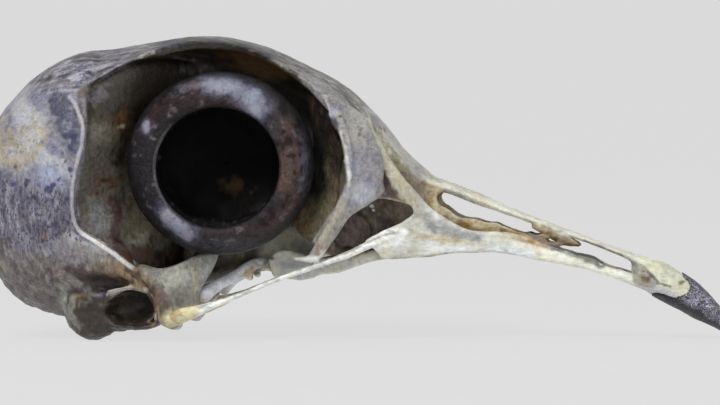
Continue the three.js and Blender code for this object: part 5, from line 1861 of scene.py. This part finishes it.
def side_bone(name, field, side_name, base, paint_part, material):
    """The quadrate or pterygoid of one side, from a field of the left one."""
    side = SIDES[side_name]
    points, quads = skin_of(field.d, field.low, field.step)
    cavity = openness(field.d, field.low, field.step, 0.3, points)
    points[:, 1] *= side
    if side < 0:
        quads = quads[:, ::-1]
    piece = new_object(f"{name}_bone_{side_name}", points, quads)
    paint = Paint(points, base, NOISE["bones"] + side)
    paint_part(paint)
    finish_paint(paint, cavity, 0.3)
    dress(piece, paint, material, "bone", f"{name}_{side_name}")


def eye_part(name, shape, side_name, base, pattern, paint_part, material, slot, *nodes):
    """A turned part of one eye: the ring, the dried eye or its torn edge."""
    side = SIDES[side_name]
    piece = shape(f"{name}_{side_name}", side)
    paint = Paint(points_of(piece), base, NOISE[pattern] + side)
    paint_part(paint)
    dress(piece, paint, material, slot, *[f"{node}_{side_name}" for node in nodes])


bone = bone_material()
skull_piece(bone)
horn_piece(horn_material())
quadrate_field, pterygoid_field = quadrate(), pterygoid()
ring_skin, eye_skin = ring_material(), eye_material()
for side_name in SIDES:
    side_bone("quadrate", quadrate_field, side_name, (124, 123, 115), paint_quadrate, bone)
    side_bone("pterygoid", pterygoid_field, side_name, (202, 204, 212), paint_pterygoid, bone)
    eye_part("eye_ring", scleral_ring, side_name, (54, 48, 50), "ring", paint_ring, ring_skin,
             "scleral_ring", "scleral_ring")
    # The dried eye is near-black: dark dried tissue, darkened further as painted shade inside the ring.
    eye_part("eye", dried_eye, side_name, (2, 2, 2), "eye", paint_eye, eye_skin,
             "dried_tissue", "dried_eye")
    eye_part("eye_edge", ragged_rim, side_name, (7, 6, 7), "edge", paint_eye_edge, eye_skin,
             "dried_tissue")

# ---- Stage ----


def stage_material():
    n = Nodes("pale_paper")
    weave = n.spread(n.noise(4.0, 3), 0.3, 0.7)
    color = n.mix(weave, rgba(68, 68, 68), rgba(72, 72, 72))
    n.shader.inputs["Emission Color"].default_value = rgba(221, 221, 221)
    return n.finish(color, 1.0, Emission_Strength=0.93, Specular_IOR_Level=0.0)


def floor_and_cove():
    """A floor that bends up far behind the skull, with a low curb on its other sides."""
    bend_at, bend, wall, bend_steps = 0.75, 1.05, 4.8, 24
    flat, curb_at, curb, near_end, side_end = 2.0, 2.3, 0.16, 3.6, 4.5
    profile = [(-near_end, curb), (-curb_at, curb), (-flat, 0.0), (bend_at, 0.0)]
    for turn in np.linspace(0, math.pi / 2, bend_steps + 1)[1:]:
        profile.append((bend_at + bend * math.sin(turn), bend - bend * math.cos(turn)))
    profile.append((bend_at + bend, wall))
    half = [(flat, 0.0), (curb_at, curb), (side_end, curb)]
    across = [(-x, rise) for x, rise in reversed(half)] + half
    verts = [(x, y, z + rise) for y, z in profile for x, rise in across]
    wide = len(across)
    faces = [
        (row * wide + i, row * wide + i + 1, (row + 1) * wide + i + 1, (row + 1) * wide + i)
        for row in range(len(profile) - 1)
        for i in range(wide - 1)
    ]
    mesh = bpy.data.meshes.new("floor")
    mesh.from_pydata(verts, [], faces)
    mesh.polygons.foreach_set("use_smooth", np.ones(len(faces), bool))
    floor = bpy.data.objects.new("floor", mesh)
    bpy.context.scene.collection.objects.link(floor)
    floor.data.materials.append(stage_material())


def area_light(name, where, aim, size, energy):
    light = bpy.data.lights.new(name, "AREA")
    light.size, light.energy = size, energy
    thing = bpy.data.objects.new(name, light)
    thing.location = where
    way = np.array(aim) - np.array(where)
    across = math.hypot(way[0], way[1])
    thing.rotation_euler = (math.atan2(across, -way[2]), 0, math.atan2(-way[0], way[1]))
    bpy.context.scene.collection.objects.link(thing)


floor_and_cove()
area_light("key", where=(-0.12, -0.20, 0.26), aim=(0, 0, 0.01), size=0.14, energy=0.85)
area_light("front", where=(0.20, -0.26, 0.10), aim=(0, 0, 0.01), size=0.16, energy=0.2)

world = bpy.data.worlds.new("studio")
bpy.context.scene.world = world
world.use_nodes = True
background = world.node_tree.nodes["Background"].inputs
background["Color"].default_value = (1, 1, 1, 1)
background["Strength"].default_value = 0.34

# ---- Camera: the photo's viewing angle ----

AIM = (0.00014, 0.0, 0.0096)
DISTANCE = 0.3
AZIMUTH, ELEVATION = math.radians(5.0), math.radians(1.5)
camera = bpy.data.objects.new("camera", bpy.data.cameras.new("camera"))
bpy.context.scene.collection.objects.link(camera)
bpy.context.scene.camera = camera
camera.data.sensor_width = 36
camera.data.lens = 210
camera.data.clip_start = 0.01
camera.location = (
    AIM[0] + DISTANCE * math.sin(AZIMUTH) * math.cos(ELEVATION),
    AIM[1] - DISTANCE * math.cos(AZIMUTH) * math.cos(ELEVATION),
    AIM[2] + DISTANCE * math.sin(ELEVATION),
)
camera.rotation_euler = (math.pi / 2 - ELEVATION, 0, AZIMUTH)
bpy.context.scene.view_settings.view_transform = "Standard"
